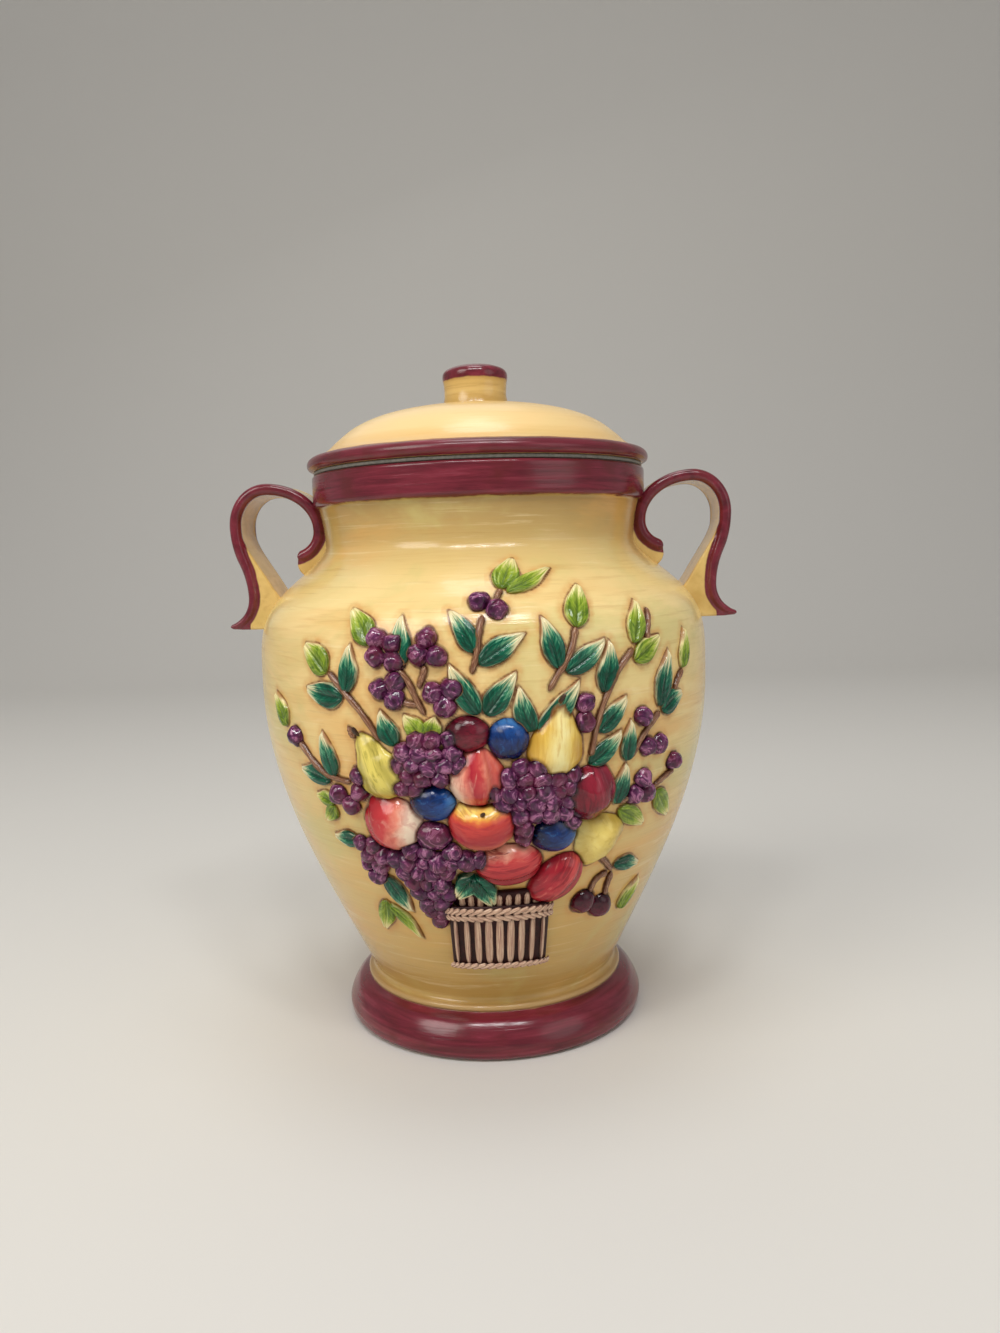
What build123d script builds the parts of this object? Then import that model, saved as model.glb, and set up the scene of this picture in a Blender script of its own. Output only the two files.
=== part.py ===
from build123d import *
import math
import os

# Lidded ceramic biscuit jar with two scroll handles and a fruit basket in relief.
# Millimetres. Origin at the centre of the foot, +Z up, handles on X, relief towards -Y.

# ---------------------------------------------------------------- jar body
foot_radius = 65.4
foot_height = 17.6
foot_edge_radius = 4.0
foot_neck_radius = 56.2
bead_radius = 1.0
waist_radius = 54.0
waist_height = 22.0
belly_radius = 96.4
belly_height = 150.0
lower_fullness = 1.04
shoulder_fullness = 2.05
neck_radius = 67.0
neck_height = 207.5
collar_radius = 71.5
collar_height = 13.3
collar_round = 1.5
rim_height = 236.3
wall = 5.5
neck_wall = 6.0
floor_thickness = 6.0
foot_recess_depth = 3.0
foot_ring_width = 12.0
wall_stations = 9

# ---------------------------------------------------------------- lid, knob and seal
lid_clearance = 0.2
seal_clearance = 0.3
seal_thickness = 1.4
seal_radius = 70.6
seal_sleeve_wall = 2.9
seal_fin = 0.4
seal_fin_height = 1.6
lid_radius = 73.3
lid_rim_height = 5.4
lid_dome_height = 21.7
lid_wall = 4.6
plug_wall = 4.5
plug_depth = 11.6
knob_radius = 14.0
knob_waist = 0.6
knob_side_height = 12.2
knob_cap_height = 4.8

# ---------------------------------------------------------------- scroll handles
handle_width = 28.0
handle_thickness = 5.0
curl_gap = 1.6
curl_rise = 6.2
curl_radius = 11.0
curl_turn = 84.0
arch_rise = 18.3
arch_outer_width = 13.8
collar_turn = 58.5
limb_gap = 2.3
limb_rise = 2.8
limb_drop = 30.5
sway = 6.1
flick_reach = 11.5
flick_drop = 14.0
flick_tip = 2.0
web_drop = 12.0
web_slope = 1.35
web_bite = 4.0

# ---------------------------------------------------------------- relief sizes
glaze_line = 0.1
grape_radius = 3.4
grape_proud = 2.4
berry_radius = 3.1
berry_proud = 0.8
cherry_radius = 5.4
leaf_sink = 0.28
stem_radius = 1.3
stem_proud = 0.3
basket_around = 8.1
basket_low = 40.2
basket_high = 69.6
basket_rim_width = 38.5
basket_base_width = 36.0
basket_proud = 4.4
basket_slat_count = 9
basket_slat_share = 0.62
basket_slat_depth = 1.1
basket_foot_band = 3.2
basket_rim_band = 5.6
basket_band_depth = 1.8
far_rim_rise = 6.2
far_rim_inset = 4.0
far_rim_proud = 2.0


# ---------------------------------------------------------------- outer wall of the body
def wall_radius(height):
    """Outer radius of the wall between the waist and the neck."""
    if height <= belly_height:
        rise = (height - waist_height) / (belly_height - waist_height)
        swell = math.sin(math.pi / 2 * max(rise, 0) ** lower_fullness)
        return waist_radius + (belly_radius - waist_radius) * swell
    rise = min((height - belly_height) / (neck_height - belly_height), 1)
    fall = (1 + math.cos(math.pi * rise ** shoulder_fullness)) / 2
    return neck_radius + (belly_radius - neck_radius) * fall


def shoulder_height(radius):
    """Height on the shoulder where the wall has a radius."""
    low, high = belly_height, neck_height
    for _ in range(40):
        middle = (low + high) / 2
        if wall_radius(middle) > radius:
            low = middle
        else:
            high = middle
    return low


def wall_normal(height):
    """Outward normal of the wall as its (radial, upward) parts."""
    step = 0.05
    slope = (wall_radius(height + step) - wall_radius(height - step)) / (2 * step)
    size = math.hypot(1, slope)
    return 1 / size, -slope / size


def stations(low, high):
    """Heights along the wall, close together at both ends."""
    steps = range(wall_stations)
    share = [(1 - math.cos(math.pi * step / (wall_stations - 1))) / 2 for step in steps]
    return [low + (high - low) * part for part in share]


def wall_points(depth, low=waist_height, high=neck_height):
    """Profile points at a depth under the outer wall, from low to high."""
    heights = stations(low, belly_height) + stations(belly_height, high)[1:]
    points = []
    for height in heights:
        out, up = wall_normal(height)
        points.append((wall_radius(height) - depth * out, height - depth * up))
    return points


def turned(edges):
    """Solid turned about Z from profile edges drawn as (radius, height)."""
    profile = make_face(edges)
    return revolve(Plane.XZ * profile, Axis.Z)


def ring(inner, outer, low, high):
    """Flat ring or tube between two radii and two heights."""
    corners = [(inner, low), (outer, low), (outer, high), (inner, high)]
    return turned(Polyline(*corners, close=True).edges())


def jar_outside():
    """The body as a full solid: foot, bead, belly, neck and collar."""
    edge = foot_edge_radius
    bead_top = foot_height + 2 * bead_radius
    collar_low = rim_height - collar_height
    lip = collar_radius - collar_round
    wall_curve = Spline(*wall_points(0))
    foot_side = Spline(
        (foot_radius, edge),
        (foot_radius - 1.6, foot_height * 0.62),
        (foot_neck_radius, foot_height),
        tangents=[(0, 1), (-1, 0.35)],
    )
    neck_side = Spline(
        (neck_radius, neck_height),
        (collar_radius - 2.5, collar_low),
        tangents=[(0, 1), (0.5, 1)],
    )
    edges = [
        Line((0, 0), (foot_radius - edge, 0)),
        RadiusArc((foot_radius - edge, 0), (foot_radius, edge), -edge),
        foot_side,
        ThreePointArc(
            (foot_neck_radius, foot_height),
            (foot_neck_radius + bead_radius, foot_height + bead_radius),
            (foot_neck_radius - bead_radius, bead_top),
        ),
        Line((foot_neck_radius - bead_radius, bead_top), (waist_radius, waist_height)),
        wall_curve,
        neck_side,
        Line((collar_radius - 2.5, collar_low), (collar_radius, collar_low + collar_round)),
        Line((collar_radius, collar_low + collar_round), (collar_radius, rim_height - collar_round)),
        RadiusArc((collar_radius, rim_height - collar_round), (lip, rim_height), -collar_round),
        Line((lip, rim_height), (0, rim_height)),
        Line((0, rim_height), (0, 0)),
    ]
    return turned(edges)


bore_radius = neck_radius - neck_wall
floor_height = foot_recess_depth + floor_thickness


def jar_cavity():
    """The hollow of the jar, open through the neck."""
    inner = wall_points(wall)
    low_radius, low_height = inner[0]
    floor_round = 6.0
    edges = [
        Line((0, floor_height), (low_radius - floor_round, floor_height)),
        ThreePointArc(
            (low_radius - floor_round, floor_height),
            (low_radius - 0.3 * floor_round, floor_height + 0.3 * floor_round),
            (low_radius, floor_height + floor_round),
        ),
        Line((low_radius, floor_height + floor_round), (low_radius, low_height)),
        Spline(*inner),
        Line(inner[-1], (bore_radius, rim_height - collar_height)),
        Line((bore_radius, rim_height - collar_height), (bore_radius, rim_height + 1)),
        Line((bore_radius, rim_height + 1), (0, rim_height + 1)),
        Line((0, rim_height + 1), (0, floor_height)),
    ]
    return turned(edges)


outside = jar_outside()


def jar_body():
    recess = Cylinder(
        foot_radius - foot_ring_width,
        foot_recess_depth,
        align=(Align.CENTER, Align.CENTER, Align.MIN),
    )
    return outside - jar_cavity() - recess


# ---------------------------------------------------------------- lid, knob and seal
seal_low = rim_height + lid_clearance
seal_top = seal_low + seal_thickness
lid_low = seal_top + lid_clearance
lid_rim_top = lid_low + lid_rim_height
sleeve_radius = bore_radius - seal_clearance - seal_fin
plug_radius = sleeve_radius - seal_sleeve_wall - seal_clearance
plug_low = lid_low - plug_depth
dome_top = lid_rim_top + lid_dome_height


def lid_seal():
    """Soft ring: a washer under the lid's rim and a finned sleeve round its plug."""
    inner = plug_radius + seal_clearance
    seal = ring(inner, seal_radius, seal_low, seal_top)
    seal += ring(inner, sleeve_radius, plug_low + 1, seal_top)
    for level in (plug_low + 2, plug_low + 5.5):
        seal += ring(inner, sleeve_radius + seal_fin, level, level + seal_fin_height)
    return seal


def dome_curve():
    """Half profile of the dome from its flared edge to its crown."""
    edge = lid_radius - 3.6
    reach = dome_top - lid_rim_top
    shape = (
        (1.0, 0.02),
        (0.935, 0.115),
        (0.862, 0.325),
        (0.765, 0.56),
        (0.645, 0.735),
        (0.5, 0.86),
        (0.33, 0.945),
        (0.16, 0.986),
        (0.0, 1.0),
    )
    return [(edge * part, lid_rim_top + reach * rise) for part, rise in shape]


def lid_dome():
    """Domed lid with a rounded rim, a flared skirt and a plug that enters the neck."""
    outer = dome_curve()
    rim_side = ThreePointArc(
        (lid_radius - 1.4, lid_low),
        (lid_radius, lid_low + lid_rim_height * 0.45),
        outer[0],
    )
    edges = [
        Line((0, lid_low), (lid_radius - 1.4, lid_low)),
        rim_side,
        Spline(*outer),
        Line(outer[-1], (0, lid_low)),
    ]
    lid = turned(edges)
    lid += ring(0, plug_radius, plug_low, lid_low + 1)
    hollow_radius = plug_radius - plug_wall
    hollow_side = dome_top - lid_wall - 9.5
    hollow = turned(
        [
            Line((0, plug_low - 1), (hollow_radius, plug_low - 1)),
            Line((hollow_radius, plug_low - 1), (hollow_radius, hollow_side)),
            Spline(
                (hollow_radius, hollow_side),
                (hollow_radius * 0.6, dome_top - lid_wall - 2.2),
                (0, dome_top - lid_wall),
                tangents=[(-0.8, 1), (-1, 0)],
            ),
            Line((0, dome_top - lid_wall), (0, plug_low - 1)),
        ]
    )
    return lid - hollow


def lid_knob(dome):
    """Short drum knob with a slight waist and a cushioned cap."""
    low = dome_top - 2
    shoulder = dome_top + knob_side_height
    waist_level = (dome_top + shoulder) / 2
    cap_top = shoulder + knob_cap_height
    edges = [
        Line((0, low), (knob_radius, low)),
        Line((knob_radius, low), (knob_radius, dome_top)),
        ThreePointArc(
            (knob_radius, dome_top),
            (knob_radius - knob_waist, waist_level),
            (knob_radius, shoulder),
        ),
        Spline(
            (knob_radius, shoulder),
            (knob_radius * 0.93, shoulder + knob_cap_height * 0.5),
            (0, cap_top),
            tangents=[(0.2, 1), (-1, 0)],
        ),
        Line((0, cap_top), (0, low)),
    ]
    return turned(edges) - dome


# ---------------------------------------------------------------- scroll handles
curl_x = neck_radius + curl_gap
curl_height = neck_height + curl_rise
limb_radius = belly_radius + limb_gap
handle_reach = limb_radius + sway
arch_centre_radius = handle_reach - arch_outer_width
limb_height = curl_height + limb_rise
limb_foot_height = limb_height - limb_drop
sway_radius = (sway * sway + limb_drop * limb_drop) / (4 * sway)
sway_turn = math.degrees(math.asin(limb_drop / 2 / sway_radius))


def curl_side(offset):
    """Side of the rolled end of the ribbon, offset from its centre line."""
    return CenterArc((curl_x + curl_radius, curl_height), curl_radius + offset, 180, curl_turn)


def ribbon_side(offset, arch_turn, limb_turn):
    """Side of the ribbon over the arch and down the limb, offset from its centre line."""
    inner_arch = EllipticalCenterArc(
        (arch_centre_radius, curl_height),
        arch_centre_radius - curl_x + offset,
        arch_rise + offset,
        start_angle=90,
        arc_size=arch_turn,
    )
    outer_arch = EllipticalCenterArc(
        (arch_centre_radius, limb_height),
        arch_outer_width + offset,
        arch_rise - limb_rise + offset,
        start_angle=0,
        arc_size=90,
    )
    limb_centre = (handle_reach - sway_radius, limb_height)
    upper_limb = CenterArc(limb_centre, sway_radius + offset, -limb_turn, limb_turn)
    return [inner_arch, outer_arch, upper_limb]


def handle():
    """Wide ribbon bent into a scroll, with webs that carry its curl and its lower end."""
    half = handle_thickness / 2
    web_turn = math.degrees(math.asin(web_drop / (sway_radius - half)))
    limb_centre = (limb_radius + sway_radius, limb_foot_height)
    lower_limb = CenterArc(limb_centre, sway_radius - half, 180 - sway_turn, sway_turn)
    outer_side = ribbon_side(half, collar_turn, sway_turn) + [lower_limb]
    inner_side = [curl_side(-half)] + ribbon_side(-half, 90, web_turn)
    root_top = outer_side[0] @ 1
    curl_tip = curl_side(half) @ 1
    root_low = shoulder_height(curl_tip.X) - web_bite
    root_inner = [(bore_radius, root_top.Y), (bore_radius, root_low), (curl_tip.X, root_low)]
    root = Polyline(root_top, *root_inner, curl_tip)
    flick = EllipticalCenterArc(
        (limb_radius + flick_reach, limb_foot_height),
        flick_reach - half,
        flick_drop - flick_tip,
        start_angle=180,
        arc_size=90,
    )
    web_low = limb_foot_height - flick_drop
    web_start = inner_side[-1] @ 0
    web_inside = belly_radius - 3 * web_bite
    web_end = (web_inside, web_start.Y - (web_start.X - web_inside) * web_slope)
    flick_end = flick @ 1
    foot = Polyline(flick_end, (flick_end.X, web_low), (web_inside, web_low), web_end, web_start)
    tip = Line(curl_tip, inner_side[0] @ 1)
    outline = make_face(outer_side + inner_side + [tip, flick] + root.edges() + foot.edges())
    blank = extrude(Plane.XZ * outline, handle_width / 2, both=True)
    return blank - outside


# ---------------------------------------------------------------- relief on the wall
def seat(around, height, proud=0.0):
    """Place on the wall: X to the right, Y up the wall and Z out of it.

    It lies around the jar from its front, to the right, by a distance measured at the belly.
    """
    turn = around / belly_radius
    out, up = wall_normal(height)
    radius = wall_radius(height)
    normal = Vector(out * math.sin(turn), -out * math.cos(turn), up)
    origin = Vector(radius * math.sin(turn), -radius * math.cos(turn), height)
    right = Vector(math.cos(turn), math.sin(turn), 0)
    return Plane(origin=origin + normal * proud, x_dir=right, z_dir=normal)


def largest(shape):
    """The biggest solid of a cut, without the crumbs beside it."""
    return sorted(shape.solids(), key=lambda solid: solid.volume)[-1]


def boxes_meet(first, second):
    """Whether two bounding boxes overlap."""
    return (
        first.min.X < second.max.X
        and second.min.X < first.max.X
        and first.min.Y < second.max.Y
        and second.min.Y < first.max.Y
        and first.min.Z < second.max.Z
        and second.min.Z < first.max.Z
    )


def wall_bed():
    """The wall grown by the glaze line, to which the backs of large pieces are cut."""
    curve = wall_points(-glaze_line)
    corners = [curve[-1], (0, neck_height), (0, waist_height), curve[0]]
    return turned([Spline(*curve)] + Polyline(*corners).edges())


def flat_bed(place):
    """Block under a place on the wall, to which the back of a small piece is cut."""
    depth = 20
    return place.location * Pos(0, 0, glaze_line - depth / 2) * Box(60, 60, depth)


bed = wall_bed()
relief = {}
laid = []


def lay(node, shape, back=bed):
    """Bed a relief piece on the wall, behind the pieces laid before it."""
    box = shape.bounding_box()
    piece = shape
    for other, other_box in laid:
        if boxes_meet(box, other_box):
            piece = piece - other
    relief.setdefault(node, []).append(largest(piece - back))
    laid.append((shape, box))


def lean(shape, degrees):
    """Tip a piece to the right on the wall."""
    return Rot(0, 0, -degrees) * shape


def oval(width, length):
    """Plum shape: an ellipse turned about its long or short axis, Y."""
    side = EllipticalCenterArc((0, 0), width / 2, length / 2, start_angle=-90, arc_size=180)
    return revolve(make_face([side, Line(side @ 1, side @ 0)]), Axis.Y)


def cleft_fruit(width, length, turn, groove=0.9):
    """Peach or nectarine shape with a groove from end to end."""
    seam = Rot(0, turn, 0) * Rot(0, 90, 0) * Torus(width / 2, groove)
    return oval(width, length) - scale(seam, by=(1, length / width, 1))


def pear(width, length):
    """Pear shape about Y with its stalk end up."""
    side = Spline(
        (0, -length / 2),
        (width * 0.5, -length * 0.17),
        (width * 0.24, length * 0.27),
        (0, length / 2),
        tangents=[(1, 0), (-1, 0)],
    )
    return revolve(make_face([side, Line(side @ 1, side @ 0)]), Axis.Y)


def apple(width, length):
    """Apple shape about Y with a dimple at its stalk end."""
    dimple = length * 0.14
    side = Spline(
        (0, -length / 2),
        (width * 0.5, length * 0.02),
        (width * 0.2, length * 0.5),
        (0, length / 2 - dimple),
        tangents=[(1, 0), (-0.4, -1)],
    )
    return revolve(make_face([side, Line(side @ 1, side @ 0)]), Axis.Y)


def blade(length, width):
    """Leaf or bud: a bow turned about its chord, which lies on Y from 0 to length."""
    side = ThreePointArc((0, 0), (width / 2, length * 0.45), (0, length))
    return revolve(make_face([side, Line((0, length), (0, 0))]), Axis.Y)


def across(start, end):
    """Distance and lean between two (around, height) places on the wall."""
    middle = (start[1] + end[1]) / 2
    sideways = (end[0] - start[0]) / belly_radius * wall_radius(middle)
    out, up = wall_normal(middle)
    upward = (end[1] - start[1]) / out
    return math.hypot(sideways, upward), math.degrees(math.atan2(sideways, upward))


def lay_leaf(node, base, tip, width):
    """Leaf from its base to its tip, both (around, height), sunk to a low crown."""
    length, tilt = across(base, tip)
    centre = ((base[0] + tip[0]) / 2, (base[1] + tip[1]) / 2)
    sink = leaf_sink * width
    shape = lean(Pos(0, -length / 2, 0) * blade(length, width), tilt)
    lay(node, seat(*centre, -sink).location * shape, flat_bed(seat(*centre)))


def lay_stem(node, places):
    """Stalk through (around, height) places, as straight rods end to end."""
    for low, high in zip(places, places[1:]):
        start = seat(*low, stem_proud).origin
        end = seat(*high, stem_proud).origin
        middle = ((low[0] + high[0]) / 2, (low[1] + high[1]) / 2)
        rod = Cylinder(stem_radius, (end - start).length, align=(Align.CENTER, Align.CENTER, Align.MIN))
        lay(node, Plane(origin=start, z_dir=end - start).location * rod, flat_bed(seat(*middle)))


def lay_bunch(node, rows, middle, spread):
    """Bunch of grapes in rows of (height, distances around), fullest at its middle."""
    grapes = []
    for height, row in rows:
        for around in row:
            away, _ = across(middle, (around, height))
            proud = grape_proud * max(1 - (away / spread) ** 2, 0.1)
            grapes.append(seat(around, height, proud).location * Sphere(grape_radius))
    lay(node, grapes[0].fuse(*grapes[1:]))


def lay_fruit(node, shape, around, height, sink, tilt=0.0, nod=0.0):
    """Fruit sunk in the wall, leaning right by tilt and nodding out by nod."""
    placed = lean(Rot(nod, 0, 0) * shape, tilt)
    lay(node, seat(around, height, -sink).location * placed)


# ---------------------------------------------------------------- basket
def tapered(low, high, low_width, high_width, proud):
    """Half-round form between two levels of the basket, as wide as given at each."""
    sections = []
    for level, width in ((low, low_width), (high, high_width)):
        place = seat(basket_around, level)
        level_plane = Plane(origin=place.origin, x_dir=place.x_dir, z_dir=(0, 0, 1))
        sections.append((level_plane * Ellipse(width / 2, proud)).face())
    return loft(sections)


def basket_blank(grow):
    """Form of the basket from base to rim, grown by a depth."""
    widths = (basket_base_width + 2 * grow, basket_rim_width + 2 * grow)
    return tapered(basket_low, basket_high, *widths, basket_proud + grow)


def slab(low, high):
    """Everything between two heights in front of the belly."""
    return Pos(0, -wall_radius(low), (low + high) / 2) * Box(3 * basket_rim_width, 120, high - low)


def lay_basket():
    """Basket wall, upright slats over it, and a band at the base and at the rim."""
    core = basket_blank(0)
    slat_low = basket_low + basket_foot_band
    slat_high = basket_high - basket_rim_band
    pitch = basket_base_width / basket_slat_count
    middle = seat(basket_around, (slat_low + slat_high) / 2)
    slat_stock = (basket_blank(basket_slat_depth) - core) & slab(slat_low, slat_high)
    band_stock = basket_blank(basket_band_depth) - core
    for index in range(basket_slat_count):
        side = (index - (basket_slat_count - 1) / 2) * pitch
        strip = Pos(side, 0, basket_proud) * Box(pitch * basket_slat_share, 60, 2 * basket_proud)
        lay("basket_slats", slat_stock & (middle.location * strip))
    lay("basket_foot_band", band_stock & slab(basket_low, slat_low))
    lay("basket_rim_band", band_stock & slab(slat_high, basket_high))
    lay("basket_wall", core)


# ---------------------------------------------------------------- what the relief holds
def lay_fruits():
    lay_fruit("nectarine_right", cleft_fruit(18.0, 26.0, 25), 34.0, 79.4, 2.0, tilt=42)
    lay_fruit("plum_blue_lower", oval(16.0, 18.4), 31.4, 98.2, 2.4, tilt=90)
    lay_fruit("apple", apple(26.5, 19.6), 2.2, 104.8, 4.4, nod=20)
    lay_fruit("plum_blue_left", oval(15.2, 18.0), -16.4, 112.4, 2.2, tilt=90)
    lay_fruit("nectarine_left", cleft_fruit(19.2, 26.2, 25), 12.6, 87.0, 2.8, tilt=84)
    lay_fruit("grape_large", oval(12.4, 14.6), -17.8, 99.6, 1.0, tilt=90)
    lay_fruit("peach_left", cleft_fruit(28.0, 27.4, -35), -35.4, 104.8, 6.6, tilt=-25)
    lay_fruit("plum_blue_upper", oval(16.4, 17.0), 12.7, 136.0, 3.2)
    lay_fruit("plum_red", oval(14.6, 17.4), -1.8, 138.2, 2.8, tilt=90)
    lay_fruit("peach_upper", cleft_fruit(23.4, 22.4, 30), 1.0, 122.8, 5.8, tilt=15)
    lay_fruit("pear_right", pear(23.4, 31.0), 30.4, 135.6, 5.4, tilt=4)
    lay_fruit("striped_plum", oval(19.5, 22.0), 43.6, 113.4, 4.2, tilt=-8)
    lay_fruit("quince", oval(22.0, 24.0), 51.6, 93.0, 5.2, tilt=20)
    lay_fruit("pear_left", pear(20.5, 28.0), -38.0, 126.4, 4.4, tilt=-24)


def lay_bunches():
    lay_bunch(
        "grapes_upper_left",
        [
            (136.5, (-20.2, -14.1, -8.4)),
            (132.0, (-25.6, -19.5, -13.5, -7.4)),
            (127.2, (-27.9, -22.2, -16.2, -10.1, -5.0)),
            (122.6, (-24.6, -18.8, -12.8)),
            (118.4, (-27.3, -21.7)),
        ],
        (-16.0, 130.0),
        15.0,
    )
    lay_bunch(
        "grapes_right",
        [
            (125.2, (17.2, 23.2)),
            (121.2, (12.5, 18.5, 24.6, 30.6, 36.0)),
            (116.6, (6.7, 12.8, 18.8, 24.9, 31.0, 36.3)),
            (112.0, (10.1, 16.2, 22.2, 28.3, 34.3)),
            (107.4, (16.2, 22.2, 28.3, 34.3, 40.0)),
            (102.8, (17.8, 38.0)),
            (98.4, (18.2,)),
        ],
        (22.7, 113.0),
        19.0,
    )
    lay_bunch(
        "grapes_lower",
        [
            (93.6, (-52.5, -46.1, -27.6, -21.5, -10.8)),
            (89.4, (-49.5, -42.7, -36.0, -29.9, -23.9, -17.5, -11.4, -5.0, 0.7)),
            (85.0, (-52.2, -45.8, -33.0, -26.9, -20.5, -14.5)),
            (80.4, (-48.8, -29.3, -23.2, -17.2)),
            (76.0, (-27.3, -20.9, -14.8)),
            (71.4, (-24.9, -18.5)),
            (67.0, (-24.2, -18.5)),
            (62.8, (-21.5,)),
        ],
        (-21.9, 84.0),
        24.0,
    )


def lay_cherries():
    for around, height in ((51.5, 66.2), (63.8, 62.2)):
        lay_fruit("cherries", oval(2 * cherry_radius, 2 * cherry_radius + 0.6), around, height, 0.8)


def lay_berries():
    groups = {
        "berries_left": (
            (-35.0, 172.6), (-28.3, 170.6), (-34.7, 166.2), (-27.6, 164.4),
            (-15.5, 172.6), (-18.5, 166.6), (-11.8, 166.4),
            (-27.3, 157.2), (-33.6, 154.4), (-27.6, 150.8),
            (-13.5, 153.2), (-6.9, 154.6), (-9.4, 148.4),
            (-78.6, 134.3), (-45.4, 122.0), (-46.8, 115.6), (-58.2, 113.4), (-52.5, 109.6),
        ),
        "berries_top": ((3.7, 184.4), (10.4, 181.6)),
        "berries_right": (
            (41.4, 147.2), (41.1, 140.4), (67.3, 139.8), (71.0, 127.8), (77.7, 127.4),
            (90.2, 118.9), (70.7, 115.2), (67.3, 109.2), (74.4, 109.0),
        ),
    }
    for node, places in groups.items():
        for around, height in places:
            berry = seat(around, height, berry_proud).location * Sphere(berry_radius)
            lay(node, berry, flat_bed(seat(around, height)))


def lay_leaves():
    leaves = {
        "teal_leaves_top": (
            ((1.7, 167.0), (-7.7, 182.0), 8.4),
            ((2.7, 163.0), (20.2, 173.4), 9.1),
            ((2.7, 145.2), (-7.7, 163.6), 9.1),
            ((4.7, 144.8), (16.2, 160.2), 9.6),
            ((31.6, 160.0), (26.6, 179.0), 8.7),
            ((34.0, 158.6), (50.8, 170.0), 9.1),
            ((21.5, 138.0), (16.8, 155.0), 8.7),
            ((23.2, 137.6), (39.7, 156.0), 9.1),
        ),
        "teal_leaves_right": (
            ((48.8, 150.0), (52.2, 169.4), 9.3),
            ((46.4, 136.0), (59.6, 148.6), 8.7),
            ((43.1, 124.0), (57.5, 136.0), 8.9),
            ((60.6, 123.2), (61.6, 139.2), 7.5),
            ((57.5, 106.6), (60.6, 123.0), 8.4),
            ((76.4, 142.0), (83.1, 163.8), 9.6),
            ((78.1, 140.4), (92.5, 146.4), 9.6),
            ((64.9, 80.4), (84.1, 77.6), 7.5),
        ),
        "teal_leaves_left": (
            ((-25.6, 161.6), (-25.7, 181.0), 9.1),
            ((-48.1, 152.6), (-46.1, 171.0), 8.7),
            ((-49.5, 150.8), (-69.3, 154.0), 10.7),
            ((-28.3, 134.0), (-34.0, 147.2), 8.7),
            ((-58.2, 120.4), (-61.9, 138.0), 8.7),
            ((-61.2, 118.4), (-79.8, 122.0), 8.2),
            ((-53.2, 95.0), (-69.0, 95.6), 7.5),
            ((-44.8, 80.6), (-35.7, 64.4), 9.1),
        ),
        "olive_leaves_left": (
            ((-37.7, 170.0), (-48.5, 183.2), 10.0),
            ((-56.9, 159.8), (-69.7, 170.6), 11.4),
            ((-18.5, 136.4), (-24.9, 145.8), 8.4),
            ((-15.1, 138.2), (-13.1, 145.0), 7.8),
            ((-84.8, 137.4), (-93.2, 150.6), 9.1),
            ((-61.9, 109.8), (-72.7, 112.2), 6.6),
            ((-62.3, 108.0), (-70.7, 101.2), 6.6),
            ((-50.1, 68.6), (-58.6, 53.2), 8.0),
            ((-48.5, 67.4), (-35.0, 51.6), 5.7),
        ),
        "olive_leaves_top": (
            ((12.5, 188.4), (19.9, 199.6), 10.7),
            ((14.8, 187.2), (36.7, 195.6), 7.5),
            ((39.4, 174.0), (45.8, 189.6), 10.0),
        ),
        "olive_leaves_right": (
            ((63.3, 167.0), (70.0, 183.0), 8.7),
            ((63.3, 160.6), (78.4, 169.4), 9.2),
            ((59.9, 104.4), (77.7, 95.2), 8.9),
            ((92.5, 155.0), (96.2, 171.0), 7.3),
            ((81.4, 108.4), (96.9, 94.8), 9.1),
            ((81.8, 56.4), (91.2, 70.0), 9.1),
        ),
        "basket_leaf": (
            ((-2.0, 83.6), (-11.4, 73.8), 9.8),
            ((-2.7, 83.4), (5.7, 69.8), 9.8),
        ),
    }
    for node, places in leaves.items():
        for base, tip, width in places:
            lay_leaf(node, base, tip, width)


def lay_stems():
    stems = {
        "stems_left": (
            ((-56.5, 160.2), (-44.1, 148.4), (-34.7, 135.6)),
            ((-29.6, 163.2), (-23.2, 158.0), (-16.7, 145.4)),
            ((-26.2, 150.4), (-19.2, 148.6)),
            ((-16.2, 163.0), (-18.2, 154.8)),
            ((-77.4, 132.8), (-64.6, 121.8), (-50.8, 118.6)),
            ((-45.4, 136.2), (-48.5, 140.4)),
        ),
        "stems_top": (
            ((12.8, 188.2), (9.8, 184.6)),
            ((4.7, 179.6), (2.7, 169.4), (0.7, 159.8)),
            ((39.4, 174.4), (35.0, 164.2), (27.6, 152.4)),
        ),
        "stems_right": (
            ((62.9, 165.2), (55.2, 157.0), (46.9, 141.6), (43.7, 127.0)),
            ((70.3, 167.4), (75.0, 179.4)),
            ((77.1, 140.2), (68.6, 133.0), (62.9, 124.0)),
            ((92.5, 154.8), (85.8, 147.4)),
            ((91.5, 115.4), (78.4, 110.4)),
            ((58.6, 107.4), (66.3, 108.6)),
        ),
        "cherry_stems": (
            ((52.5, 87.2), (64.9, 78.0)),
            ((61.9, 77.6), (56.5, 75.4), (53.2, 68.6)),
            ((64.6, 77.0), (64.9, 66.0)),
        ),
    }
    for node, stalks in stems.items():
        for places in stalks:
            lay_stem(node, places)


def lay_far_rim():
    """Far side of the basket's rim, which stands up behind the near one."""
    width = basket_rim_width - far_rim_inset
    lay("basket_far_rim", tapered(basket_high, basket_high + far_rim_rise, width, width, far_rim_proud))


def lay_relief():
    """Lay the whole basket of fruit, front pieces first."""
    lay_fruits()
    lay_bunches()
    lay_cherries()
    lay_basket()
    lay_berries()
    lay_leaves()
    lay_stems()
    lay_far_rim()


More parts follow.
